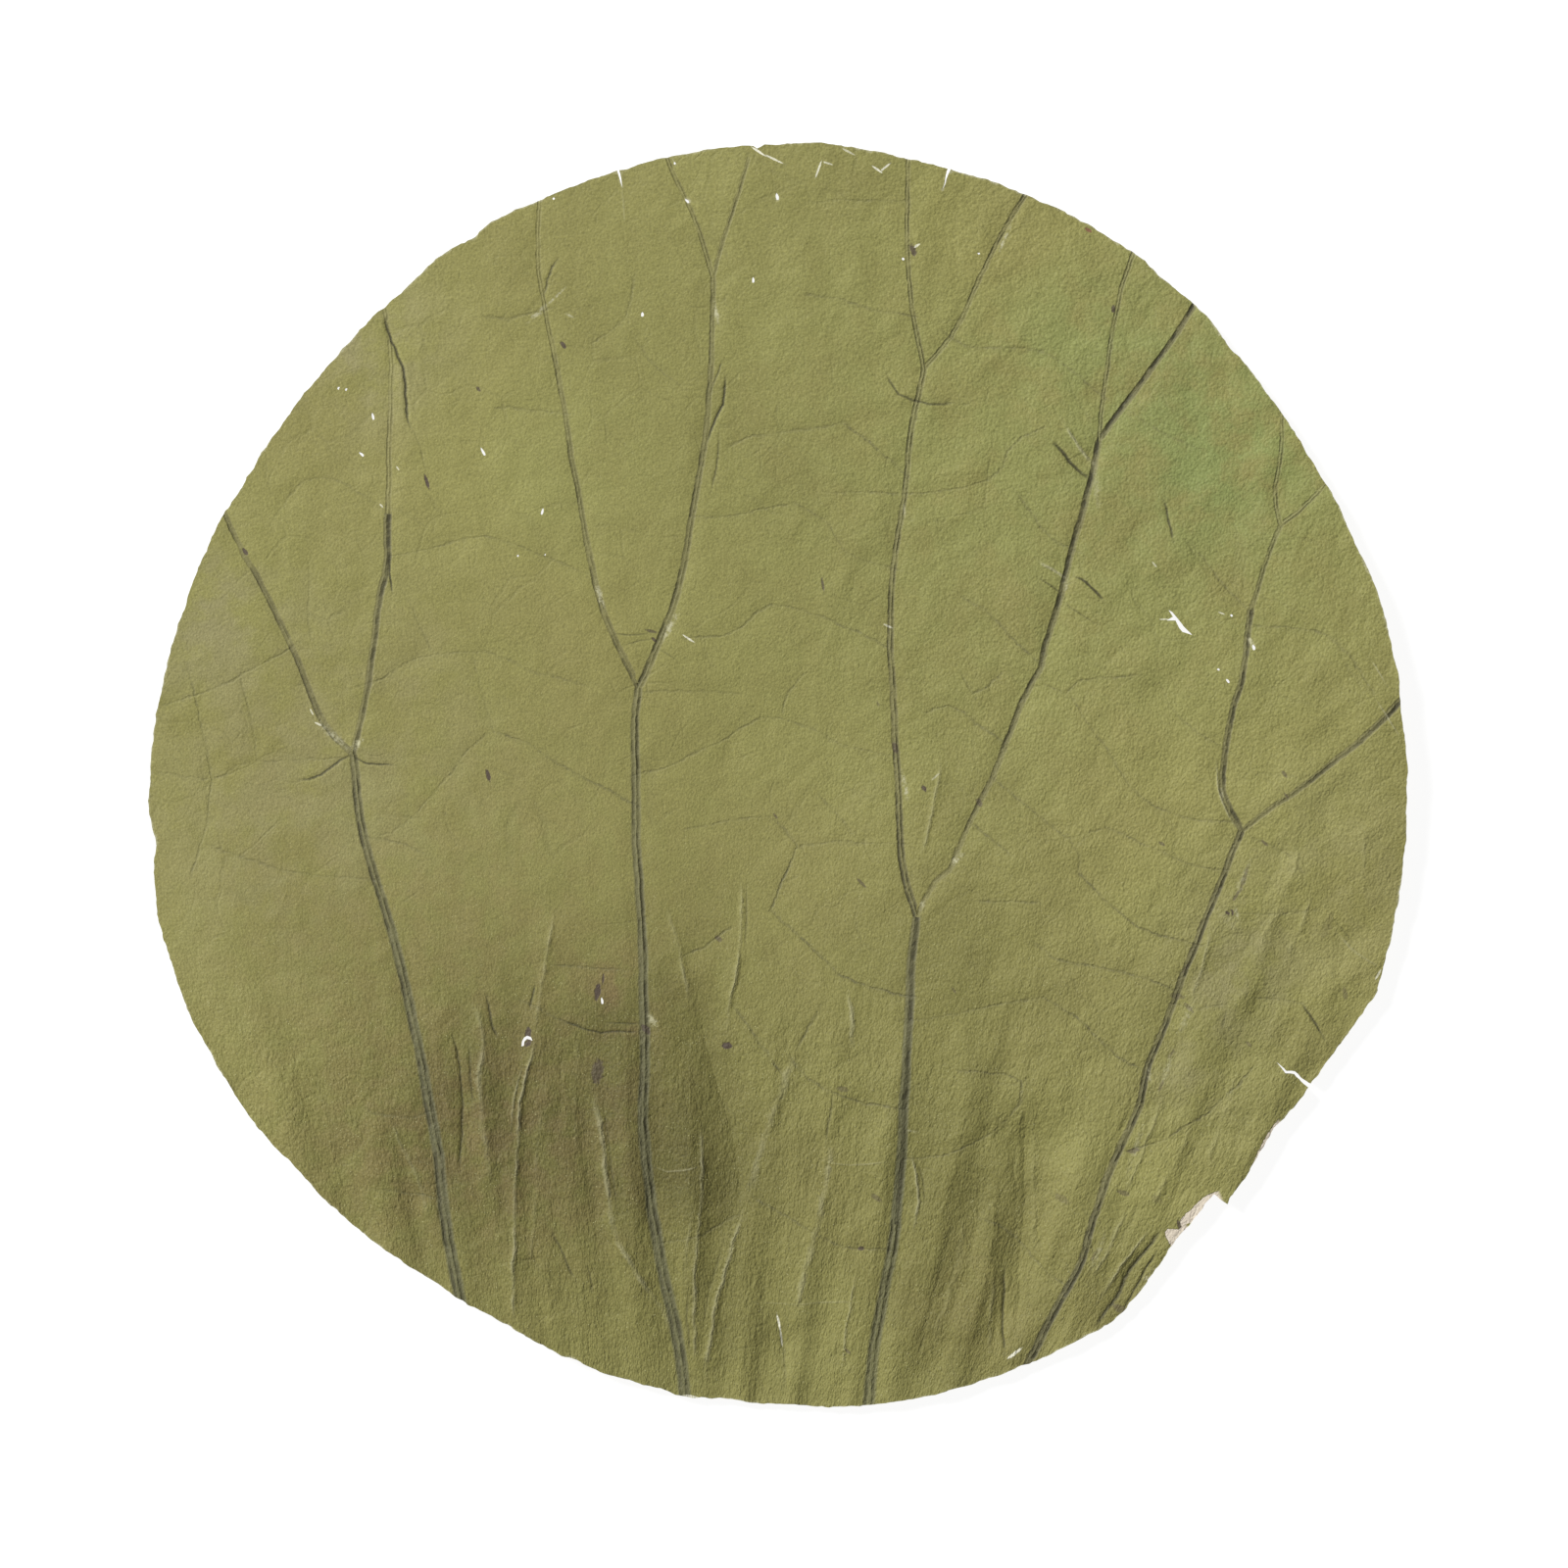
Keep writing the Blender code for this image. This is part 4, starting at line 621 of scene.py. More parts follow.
def smooth_route(points, pitch):
    """Points about a pitch apart along a Catmull-Rom curve through the given points."""
    ends = [Vector(points[0]) * 2 - Vector(points[1]), Vector(points[-1]) * 2 - Vector(points[-2])]
    knots = [ends[0]] + [Vector(point) for point in points] + [ends[1]]
    dense = []
    for a, b, c, d in zip(knots, knots[1:], knots[2:], knots[3:]):
        for step in range(ROUTE_STEPS):
            t = step / ROUTE_STEPS
            dense.append(0.5 * (2 * b + (c - a) * t + (2 * a - 5 * b + 4 * c - d) * t * t
                                + (3 * b - a - 3 * c + d) * t ** 3))
    dense.append(knots[-2])
    lengths = np.cumsum([0.0] + [(q - p).length for p, q in zip(dense, dense[1:])])
    stations = np.linspace(0.0, lengths[-1], max(2, round(lengths[-1] / pitch) + 1))
    xs = np.interp(stations, lengths, [point.x for point in dense])
    ys = np.interp(stations, lengths, [point.y for point in dense])
    return np.stack([xs, ys], 1)


def straight_pieces(routes, pitch, widths=None):
    """Rows of straight pieces: both points, width at both, route, how far along each end is, and length."""
    rows = []
    for index, route in enumerate(routes):
        points = smooth_route(route, pitch)
        start, end = widths[index] if widths else (1.0, 1.0)
        width = np.linspace(start, end, len(points))
        along = np.cumsum([0.0, *np.hypot(*np.diff(points, axis=0).T)])
        for step in range(len(points) - 1):
            rows.append([*points[step], *points[step + 1], width[step], width[step + 1], index,
                         along[step], along[step + 1], along[-1]])
    return np.array(rows, float)


def nearest_piece(points, rows):
    """Which straight piece each point belongs to, judged by distance over width."""
    best = np.full(len(points), np.inf)
    picked = np.zeros(len(points), int)
    for index, row in enumerate(rows):
        start, along = row[:2], row[2:4] - row[:2]
        t = np.clip(((points - start) @ along) / (along @ along), 0.0, 1.0)
        gap = np.hypot(*(points - start - t[:, None] * along).T)
        share = gap / (row[4] + (row[5] - row[4]) * t)
        closer = share < best
        best[closer] = share[closer]
        picked[closer] = index
    return picked


def measured(points, rows):
    """Signed distance across each point's own piece, left of it positive, width, and how far it lies past
    the piece and within the route's nearer end, below zero past that end."""
    start, along = rows[:, :2], rows[:, 2:4] - rows[:, :2]
    length = np.hypot(*along.T)
    along = along / length[:, None]
    offset = points - start
    across = along[:, 0] * offset[:, 1] - along[:, 1] * offset[:, 0]
    ahead = (offset * along).sum(1)
    width = rows[:, 4] + (rows[:, 5] - rows[:, 4]) * np.clip(ahead / length, 0.0, 1.0)
    past = np.maximum(np.maximum(-ahead, ahead - length), 0.0)
    within = np.minimum(rows[:, 7] + ahead, rows[:, 9] - rows[:, 7] - ahead)
    return across, width, past, within


def distance(points, rows):
    """Plain distance to the closest piece, the width there, and how far within the route's end it is."""
    across, width, past, within = measured(points, rows[nearest_piece(points, rows)])
    return np.hypot(across, past), width, within


VEIN_ROWS = straight_pieces([vein[-1] for vein in VEINS], VEIN_STEP, [vein[:2] for vein in VEINS])
NET_ROWS = straight_pieces([route for _, route in NET], NET_STEP)
FINE_ROWS = straight_pieces([crease[-1] for crease in FINE_CREASES], FINE_STEP)
FOLD_ROWS = straight_pieces([fold[-1] for fold in FOLDS], FOLD_STEP, [(fold[1], fold[1]) for fold in FOLDS])
TORN_ROWS = straight_pieces(TORN_EDGES, TORN_STEP)


# Form of the leaf

def crumple(points, size, seed):
    """Soft facets between sharp crests and valleys, about -1 to 1, at points in plan."""
    crest = [abs(noise.noise((x / size, y / size, seed))) for x, y in points]
    valley = [abs(noise.noise((x / size, y / size, seed + VALLEY_SEED_SHIFT))) for x, y in points]
    return CRUMPLE_SCALE * (np.array(valley) - np.array(crest))


def fan_place(points):
    """Where points lie in the fan from the petiole: across it, and along it."""
    x, y = points[:, 0] - PETIOLE[0], points[:, 1] - PETIOLE[1]
    return np.stack([np.arctan2(x, y) * FAN_MEASURED_AT, np.hypot(x, y)], 1)


def blade_height(points):
    """Height of the blade's lower skin without veins: a flat spot, a shallow dish, waves and puckers."""
    x, y = points[:, 0], points[:, 1]
    angle = np.arctan2(y, x)
    out = np.maximum(np.hypot(x, y) - REST_RADIUS, 0.0)
    height = DISH_RISE * (1.0 - np.exp(-out / DISH_REACH))
    for size, count, phase, power in RIM_WAVES:
        height += size * (out / (RIM_RADIUS - REST_RADIUS)) ** power * np.sin(count * angle + phase)
    ray = np.arctan2(x - PETIOLE[0], y - PETIOLE[1])
    share = smooth_step((y - FAN_START) / (FAN_FULL - FAN_START))
    varies = FAN_VARIES * (np.sin(FAN_VARIES_ROUND * ray + FAN_VARIES_ALONG * y) - 1.0)
    height += FAN_HEIGHT * share * (1.0 + varies) * np.sin(2.0 * math.pi * ray / FAN_PITCH)
    beyond_rest = smooth_step(out / PUCKER_RISE_OVER)
    fan = fan_place(points) / (PLEAT_WIDTH, PLEAT_LENGTH)
    height += PLEAT_HEIGHT * share * crumple(fan, 1.0, PLEAT_SEED)
    rightward = smooth_step((x - PUCKER_CALM_LINE) / PUCKER_CALM_WIDTH)
    rightward = PUCKER_CALM + (1.0 - PUCKER_CALM) * rightward
    return height + PUCKER_HEIGHT * beyond_rest * rightward * crumple(points, PUCKER_SIZE, PUCKER_SEED)


def relief(points):
    """Top and bottom relief of the veins and broad creases at each point."""
    gap, half_width, _ = distance(points, VEIN_ROWS)
    share = gap / half_width
    crest, furrow = -RIB_CREST_DROP * half_width, -RIB_FURROW_DROP * half_width
    across = crest + (furrow - crest) * smooth_step(share)
    beyond = furrow * (1.0 - smooth_step((share - 1.0) / (RIB_SHOULDER - 1.0)))
    top = np.where(share < 1.0, across, beyond)
    bulge = RIB_BULGE * half_width * np.sqrt(np.clip(1.0 - share * share, 0.0, 1.0))

    gap, _, _ = distance(points, NET_ROWS)
    fade = 1.0 - smooth_step(gap / NET_REACH)
    top = np.minimum(top, -NET_GROOVE * fade)
    bulge = np.maximum(bulge, NET_BULGE * fade)

    for height, route in CREASES:
        gap, _, within = distance(points, straight_pieces([route], CREASE_STEP))
        sharp = np.clip(1.0 - gap / CREASE_REACH, 0.0, 1.0) ** 1.4
        top = top + CREASE_SHARE * height * sharp * smooth_step(within / CREASE_TAPER)
    return top, bulge


def longest_allowed(edge):
    """The mesh's own spacing at an edge: finer on the rim, at the torn corner and in the near third."""
    if edge.is_boundary:
        return RIM_PITCH * MM
    middle = (edge.verts[0].co + edge.verts[1].co).xy / (2.0 * MM)
    if (middle - Vector(CORNER)).length < CORNER_REACH:
        return CORNER_PITCH * MM
    return (NEAR_PITCH if middle.y < NEAR_LINE else FAR_PITCH) * MM


def triangulate(bm):
    """Cuts every face that has more than three corners."""
    bmesh.ops.triangulate(bm, faces=[face for face in bm.faces if len(face.verts) > 3],
                          quad_method="BEAUTY", ngon_method="BEAUTY")


def flat_sheet():
    """The CAD leaf's upper skin laid flat, refined, with a torn rim and pinholes."""
    bm = bmesh.new()
    bm.from_mesh(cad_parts["leaf"].data)
    bmesh.ops.remove_doubles(bm, verts=bm.verts[:], dist=0.001 * MM)
    rest = [face for face in bm.faces if face.normal.z < UPWARD]
    bmesh.ops.delete(bm, geom=rest, context="FACES")
    bmesh.ops.scale(bm, verts=bm.verts[:], vec=(1.0, 1.0, 0.0))
    for _ in range(REFINE_PASSES):
        long_edges = [edge for edge in bm.edges if edge.calc_length() > longest_allowed(edge)]
        if not long_edges:
            break
        bmesh.ops.subdivide_edges(bm, edges=long_edges, cuts=1, use_grid_fill=True)
        triangulate(bm)
    noise.seed_set(RIM_WANDER_SEED)
    for vert in bm.verts:
        if vert.is_boundary:
            reach = RIM_WANDER if vert.co.length > ROUND_RIM * MM else HOLE_WANDER
            spot = vert.co / (MM * RIM_WANDER_SIZE)
            wander = noise.noise_vector(spot) + 0.5 * noise.noise_vector(spot * 2.3)
            vert.co.xy += wander.xy * reach * MM
            for middle, half, depth in NICKS:
                gap = (vert.co.xy / MM - Vector(middle)).length
                vert.co.xy -= vert.co.xy.normalized() * (depth * max(0.0, 1.0 - gap / half) * MM)
    for x, y, radius in PINHOLES:
        middle = Vector((x, y, 0.0)) * MM
        inner = [vert for vert in bm.verts if not vert.is_boundary]
        vert = min(inner, key=lambda vert: (vert.co - middle).length)
        vert.co = middle
        cut = bmesh.ops.bevel(bm, geom=[vert], offset=radius * MM, offset_type="OFFSET", segments=1,
                              profile=0.5, affect="VERTICES", material=-1)
        bmesh.ops.delete(bm, geom=cut["faces"], context="FACES")
    triangulate(bm)
    return bm


LOWER, UPPER, RIM = 0, 1, 2


def leaf_mesh():
    """The closed leaf: the sheet at its lower heights, raised to its upper ones."""
    bm = flat_sheet()
    fringe = bm.verts.layers.float.new("fringe")
    for vert in bm.verts:
        vert[fringe] = float(vert.is_boundary and vert.co.length > FRINGE_START * MM)
    points = np.array([vert.co.xy[:] for vert in bm.verts]) / MM
    top_relief, bulge = relief(points)
    beyond_rest = smooth_step((np.hypot(*points.T) - REST_RADIUS) / REST_BLEND)
    skin = blade_height(points) + top_relief * beyond_rest
    bottom = np.maximum(skin - bulge * beyond_rest, 0.0)
    top_height = bm.verts.layers.float.new("top_height")
    for vert, low, high in zip(bm.verts, bottom, skin + BLADE_THICKNESS):
        vert.co.z = low * MM
        vert[top_height] = high * MM
    lower = set(bm.faces)
    raised = bmesh.ops.extrude_face_region(bm, geom=bm.faces[:])["geom"]
    upper = set(item for item in raised if isinstance(item, bmesh.types.BMFace))
    for item in raised:
        if isinstance(item, bmesh.types.BMVert):
            item.co.z = item[top_height]
    for face in bm.faces:
        face.smooth = True
        face.material_index = UPPER if face in upper else LOWER if face in lower else RIM
    bmesh.ops.recalc_face_normals(bm, faces=bm.faces[:])
    triangulate(bm)
    for edge in bm.edges:
        if len({face.material_index for face in edge.link_faces}) > 1:
            edge.smooth = False
    bm.verts.layers.float.remove(top_height)
    mesh = bpy.data.meshes.new("lotus_leaf")
    bm.to_mesh(mesh)
    bm.free()
    return mesh


# Where each face lies on the veins, net, creases and marks. Every face keeps to one straight piece, so the
# signed distance is exact across it and the finish can draw lines finer than the mesh.

def corner_points(mesh):
    """The plan place of every face's corners, and of its middle, in millimetres."""
    co = np.zeros(len(mesh.vertices) * 3)
    mesh.vertices.foreach_get("co", co)
    index = np.zeros(len(mesh.loops), int)
    mesh.loops.foreach_get("vertex_index", index)
    corners = co.reshape(-1, 3)[index][:, :2] / MM
    return corners, corners.reshape(-1, 3, 2).mean(1)


def keep(mesh, name, *values):
    """Stores up to three numbers for each corner under a name that the finish reads."""
    stored = np.zeros((len(mesh.loops), 3), np.float32)
    stored[:, :len(values)] = np.stack(values, 1)
    mesh.attributes.new(name, "FLOAT_VECTOR", "CORNER").data.foreach_set("vector", stored.ravel())


def write_lines(mesh):
    """Stores the distances to the veins, the net, the fine creases and the torn edge."""
    corners, middles = corner_points(mesh)

    def own(pieces):
        """Each corner's own piece, and where the corner lies by it."""
        rows = pieces[np.repeat(nearest_piece(middles, pieces), 3)]
        return rows, rows[:, 6].astype(int), measured(corners, rows)

    rows, vein, (across, half, _, within) = own(VEIN_ROWS)
    looks = np.array([entry[:5] for entry in VEINS])[vein]
    worn = 0.5 * (rows[:, 7] + rows[:, 8]) / rows[:, 9]
    ink = looks[:, 2] + (looks[:, 3] - looks[:, 2]) * worn
    fade = smooth_step(1.0 + within / VEIN_TAPER)
    spread = LINE_SPREAD * np.clip(1.0 - LEAN_CLOSES * np.abs(looks[:, 4]), 0.0, 1.0)
    keep(mesh, "vein_line", across, half, spread * half)
    keep(mesh, "vein_ink", ink * fade, looks[:, 4] * fade)

    rows, line, (across, _, _, within) = own(NET_ROWS)
    ink = np.array([ink for ink, _ in NET])[line]
    keep(mesh, "net_line", across, ink * smooth_step(1.0 + within / NET_TAPER))

    rows, crease, (across, _, _, within) = own(FINE_ROWS)
    fade = smooth_step((within + 0.5) / np.minimum(FINE_TAPER, FINE_TAPER_SHARE * rows[:, 9]))
    looks = np.array([entry[:3] for entry in FINE_CREASES])[crease]
    keep(mesh, "crease_line", across / looks[:, 1], looks[:, 0] * fade, looks[:, 2] * fade)

    rows, fold, (across, reach, _, within) = own(FOLD_ROWS)
    depth = np.array([entry[0] for entry in FOLDS])[fold]
    keep(mesh, "fold_line", across / reach, depth * smooth_step(within / FOLD_TAPER))

    _, _, (across, _, past, _) = own(TORN_ROWS)
    keep(mesh, "torn_line", across, past)


def write_marks(mesh, name, marks):
    """Stores where each corner lies in its nearest mark: across and along it, 1 at its edge."""
    corners, middles = corner_points(mesh)
    table = np.array([[*start, *end, width, strength] for start, end, width, strength in marks])
    best = np.full(len(middles), np.inf)
    picked = np.zeros(len(middles), int)
    for index, (ax, ay, bx, by, width, _) in enumerate(table):
        start, along = np.array((ax, ay)), np.array((bx - ax, by - ay))
        t = np.clip(((middles - start) @ along) / (along @ along), 0.0, 1.0)
        gap = np.hypot(*(middles - start - t[:, None] * along).T) - 0.5 * width
        closer = gap < best
        best[closer] = gap[closer]
        picked[closer] = index
    rows = table[np.repeat(picked, 3)]
    middle, along = 0.5 * (rows[:, :2] + rows[:, 2:4]), rows[:, 2:4] - rows[:, :2]
    length = np.hypot(*along.T)
    along = along / length[:, None]
    offset = corners - middle
    across = (along[:, 0] * offset[:, 1] - along[:, 1] * offset[:, 0]) / (0.5 * rows[:, 4])
    ahead = (offset * along).sum(1) / (0.5 * (length + rows[:, 4]))
    keep(mesh, name, np.clip(across, -FAR_OFF, FAR_OFF), np.clip(ahead, -FAR_OFF, FAR_OFF), rows[:, 5])


def write_stains_and_shade(mesh):
    """Stores how much darker, from painted shade as well as stain, greener and browner the blade is at each
    vertex.
    """
    co = np.zeros(len(mesh.vertices) * 3)
    mesh.vertices.foreach_get("co", co)
    points = co.reshape(-1, 3)[:, :2] / MM
    stain_and_shade = np.zeros((len(points), 3), np.float32)
    for middle, radius, *shares in STAINS_AND_SHADE:
        fall = np.exp(-((points - middle) ** 2).sum(1) / (radius * radius))
        stain_and_shade[:, :len(shares)] += fall[:, None] * np.array(shares)
    mesh.attributes.new("stain_and_shade", "FLOAT_VECTOR", "POINT").data.foreach_set("vector", stain_and_shade.ravel())


# Finishes

class Mix:
    """Mixes one finish out of small steps on a material's node tree."""

    def __init__(self, name, roughness, specular):
        self.material = bpy.data.materials.new(name)
        self.material.use_nodes = True
        self.nodes = self.material.node_tree.nodes
        self.links = self.material.node_tree.links
        self.shader = self.nodes["Principled BSDF"]
        self.shader.inputs["Roughness"].default_value = roughness
        self.shader.inputs["Specular IOR Level"].default_value = specular
        place = self.nodes.new("ShaderNodeTexCoord").outputs["Object"]
        self.place = self.vector("SCALE", place, scale=1.0 / MM)

    def set(self, socket, value):
        if isinstance(value, bpy.types.NodeSocket):
            self.links.new(value, socket)
        elif isinstance(value, tuple) and len(socket.default_value) == 4:
            socket.default_value = (*value, 1.0)
        else:
            socket.default_value = value

    def maths(self, operation, *values):
        node = self.nodes.new("ShaderNodeMath")
        node.operation = operation
        for socket, value in zip(node.inputs, values):
            self.set(socket, value)
        return node.outputs[0]

    def vector(self, operation, first, second=None, scale=None):
        node = self.nodes.new("ShaderNodeVectorMath")
        node.operation = operation
        self.set(node.inputs[0], first)
        if second is not None:
            self.set(node.inputs[1], second)
        if scale is not None:
            self.set(node.inputs["Scale"], scale)
        return node.outputs["Vector"]

    def parts(self, vector):
        node = self.nodes.new("ShaderNodeSeparateXYZ")
        self.set(node.inputs[0], vector)
        return node.outputs[0], node.outputs[1], node.outputs[2]

    def joined(self, x, y, z=0.0):
        node = self.nodes.new("ShaderNodeCombineXYZ")
        for socket, value in zip(node.inputs, (x, y, z)):
            self.set(socket, value)
        return node.outputs[0]

    def kept(self, name):
        """The three numbers that the mesh keeps under a name."""
        node = self.nodes.new("ShaderNodeAttribute")
        node.attribute_name = name
        return self.parts(node.outputs["Vector"])

    def eased(self, value, low, high):
        """0 at low and 1 at high, with soft ends."""
        node = self.nodes.new("ShaderNodeMapRange")
        node.interpolation_type = "SMOOTHSTEP"
        for name, given in (("Value", value), ("From Min", low), ("From Max", high)):
            self.set(node.inputs[name], given)
        return node.outputs["Result"]

    def clouds(self, vector, size, detail=2.0, rough=0.5, warp=0.0):
        """Soft noise, 0 to 1, in lumps of a size in millimetres."""
        node = self.nodes.new("ShaderNodeTexNoise")
        for name, given in (("Vector", vector), ("Scale", 1.0 / size), ("Detail", detail),
                            ("Roughness", rough), ("Distortion", warp)):
            self.set(node.inputs[name], given)
        return node.outputs["Fac"]

    def patchy(self, size, low, high, detail=2.0, rough=0.5):
        """Patches of a size, 0 to 1, from where the clouds pass low to where they pass high."""
        return self.eased(self.clouds(self.place, size, detail, rough), low, high)

    def cells(self, vector, size, feature):
        """Distances in a pattern of cells of a size in millimetres."""
        node = self.nodes.new("ShaderNodeTexVoronoi")
        node.feature = feature
        self.set(node.inputs["Vector"], vector)
        self.set(node.inputs["Scale"], 1.0 / size)
        return node.outputs["Distance"]

    def tinted(self, share, first, second):
        node = self.nodes.new("ShaderNodeMix")
        node.data_type = "RGBA"
        for index, given in ((0, share), (6, first), (7, second)):
            self.set(node.inputs[index], given)
        return node.outputs[2]

    def layered(self, colour, *layers):
        """A colour under layers, each a share and a tint."""
        for share, tint in layers:
            colour = self.tinted(share, colour, tint)
        return colour

    def toned(self, colour, brightness):
        return self.vector("SCALE", colour, scale=brightness)

    def total(self, *values):
        result = values[0]
        for value in values[1:]:
            result = self.maths("ADD", result, value)
        return result

    def times(self, *values):
        result = values[0]
        for value in values[1:]:
            result = self.maths("MULTIPLY", result, value)
        return result

    def rest_of(self, value):
        return self.maths("SUBTRACT", 1.0, value)

    def size(self, value):
        return self.maths("ABSOLUTE", value)

    def larger(self, first, second=0.0):
        return self.maths("MAXIMUM", first, second)

    def reach(self, x, y):
        return self.maths("POWER", self.total(self.times(x, x), self.times(y, y)), 0.5)

    def moved(self, x, y):
        return self.vector("ADD", self.place, (x, y, 0.0))

    def swing(self, value, *shares):
        """A value about 0.5 made one about 0, times the shares."""
        return self.times(self.maths("SUBTRACT", value, 0.5), *shares)

    def wander(self, size, amount, detail=2.0, rough=0.5):
        """Noise about 0, in lumps of a size."""
        return self.swing(self.clouds(self.place, size, detail, rough), amount)

    def valleys(self, value):
        """How far a value is from 0.5: sharp valleys between round hills."""
        return self.size(self.maths("SUBTRACT", value, 0.5))

    def at_least(self, low, value):
        """A value of 0 to 1 squeezed to low to 1."""
        return self.total(low, self.times(value, 1.0 - low))

    def graded(self, value, share, amounts):
        """A value times the first amount, and times the second as well as far as the share goes."""
        return self.times(value, self.total(amounts[0], self.times(share, amounts[1])))

    def finished(self, colour, height):
        """Takes the colour, and a height in millimetres for the bump."""
        bump = self.nodes.new("ShaderNodeBump")
        bump.inputs["Distance"].default_value = MM
        bump.inputs["Strength"].default_value = 1.0
        self.set(bump.inputs["Height"], height)
        self.set(self.shader.inputs["Normal"], bump.outputs["Normal"])
        self.set(self.shader.inputs["Base Color"], colour)
        return self.material


def vein_shapes(mix):
    """Masks of the main veins: the painted shadow in their furrows, the furrows for the bump, the whole band,
    the fold down to it, and half its width.
    """
    across, half, spread = mix.kept("vein_line")
    ink, lean, _ = mix.kept("vein_ink")
    place = mix.total(across, mix.wander(9.0, 0.9), mix.wander(1.2, 0.28))
    steep = mix.size(lean)
    lines = []
    for side, shift in ((1.0, 0.0), (-1.0, 31.0)):
        gap = mix.size(mix.total(place, mix.times(spread, -side)))
        beside = mix.moved(shift, 0.5 * shift)
        patchy = mix.larger(mix.eased(mix.clouds(beside, 3.5, 3.0), 0.34, 0.58),
                            mix.total(0.22, mix.times(steep, 1.2)))
        swell = mix.total(0.14, mix.times(mix.clouds(beside, 2.0), 0.18), mix.times(half, 0.05),
                          mix.times(steep, ink, half, 1.5))
        core = mix.total(0.04, mix.times(steep, ink, half, 0.35))
        share = mix.maths("MINIMUM", mix.total(1.0, mix.times(lean, 2.0 * side)), 1.0)
        lines.append(mix.times(mix.eased(gap, swell, core), patchy, share))
    line = mix.larger(*lines)
    inked_shadow = mix.times(line, ink, ink)
    band = mix.times(mix.eased(mix.maths("DIVIDE", mix.size(place), half), 1.30, 0.80), ink)
    furrow = mix.times(mix.total(line, mix.times(band, 0.25)), ink)
    slope = mix.larger(mix.rest_of(mix.times(mix.size(place), 0.30)))
    fold = mix.times(mix.maths("POWER", slope, 1.4), lean)
    return inked_shadow, furrow, band, fold, half


def mark(mix, name, ragged, core=0.75):
    """Mask of the marks kept under a name, with ragged edges and a core of full strength."""
    across, along, strength = mix.kept(name)
    uneven = mix.total(mix.reach(across, along), mix.wander(0.5, ragged, 3.0))
    return mix.times(mix.eased(uneven, 1.2, core), strength)


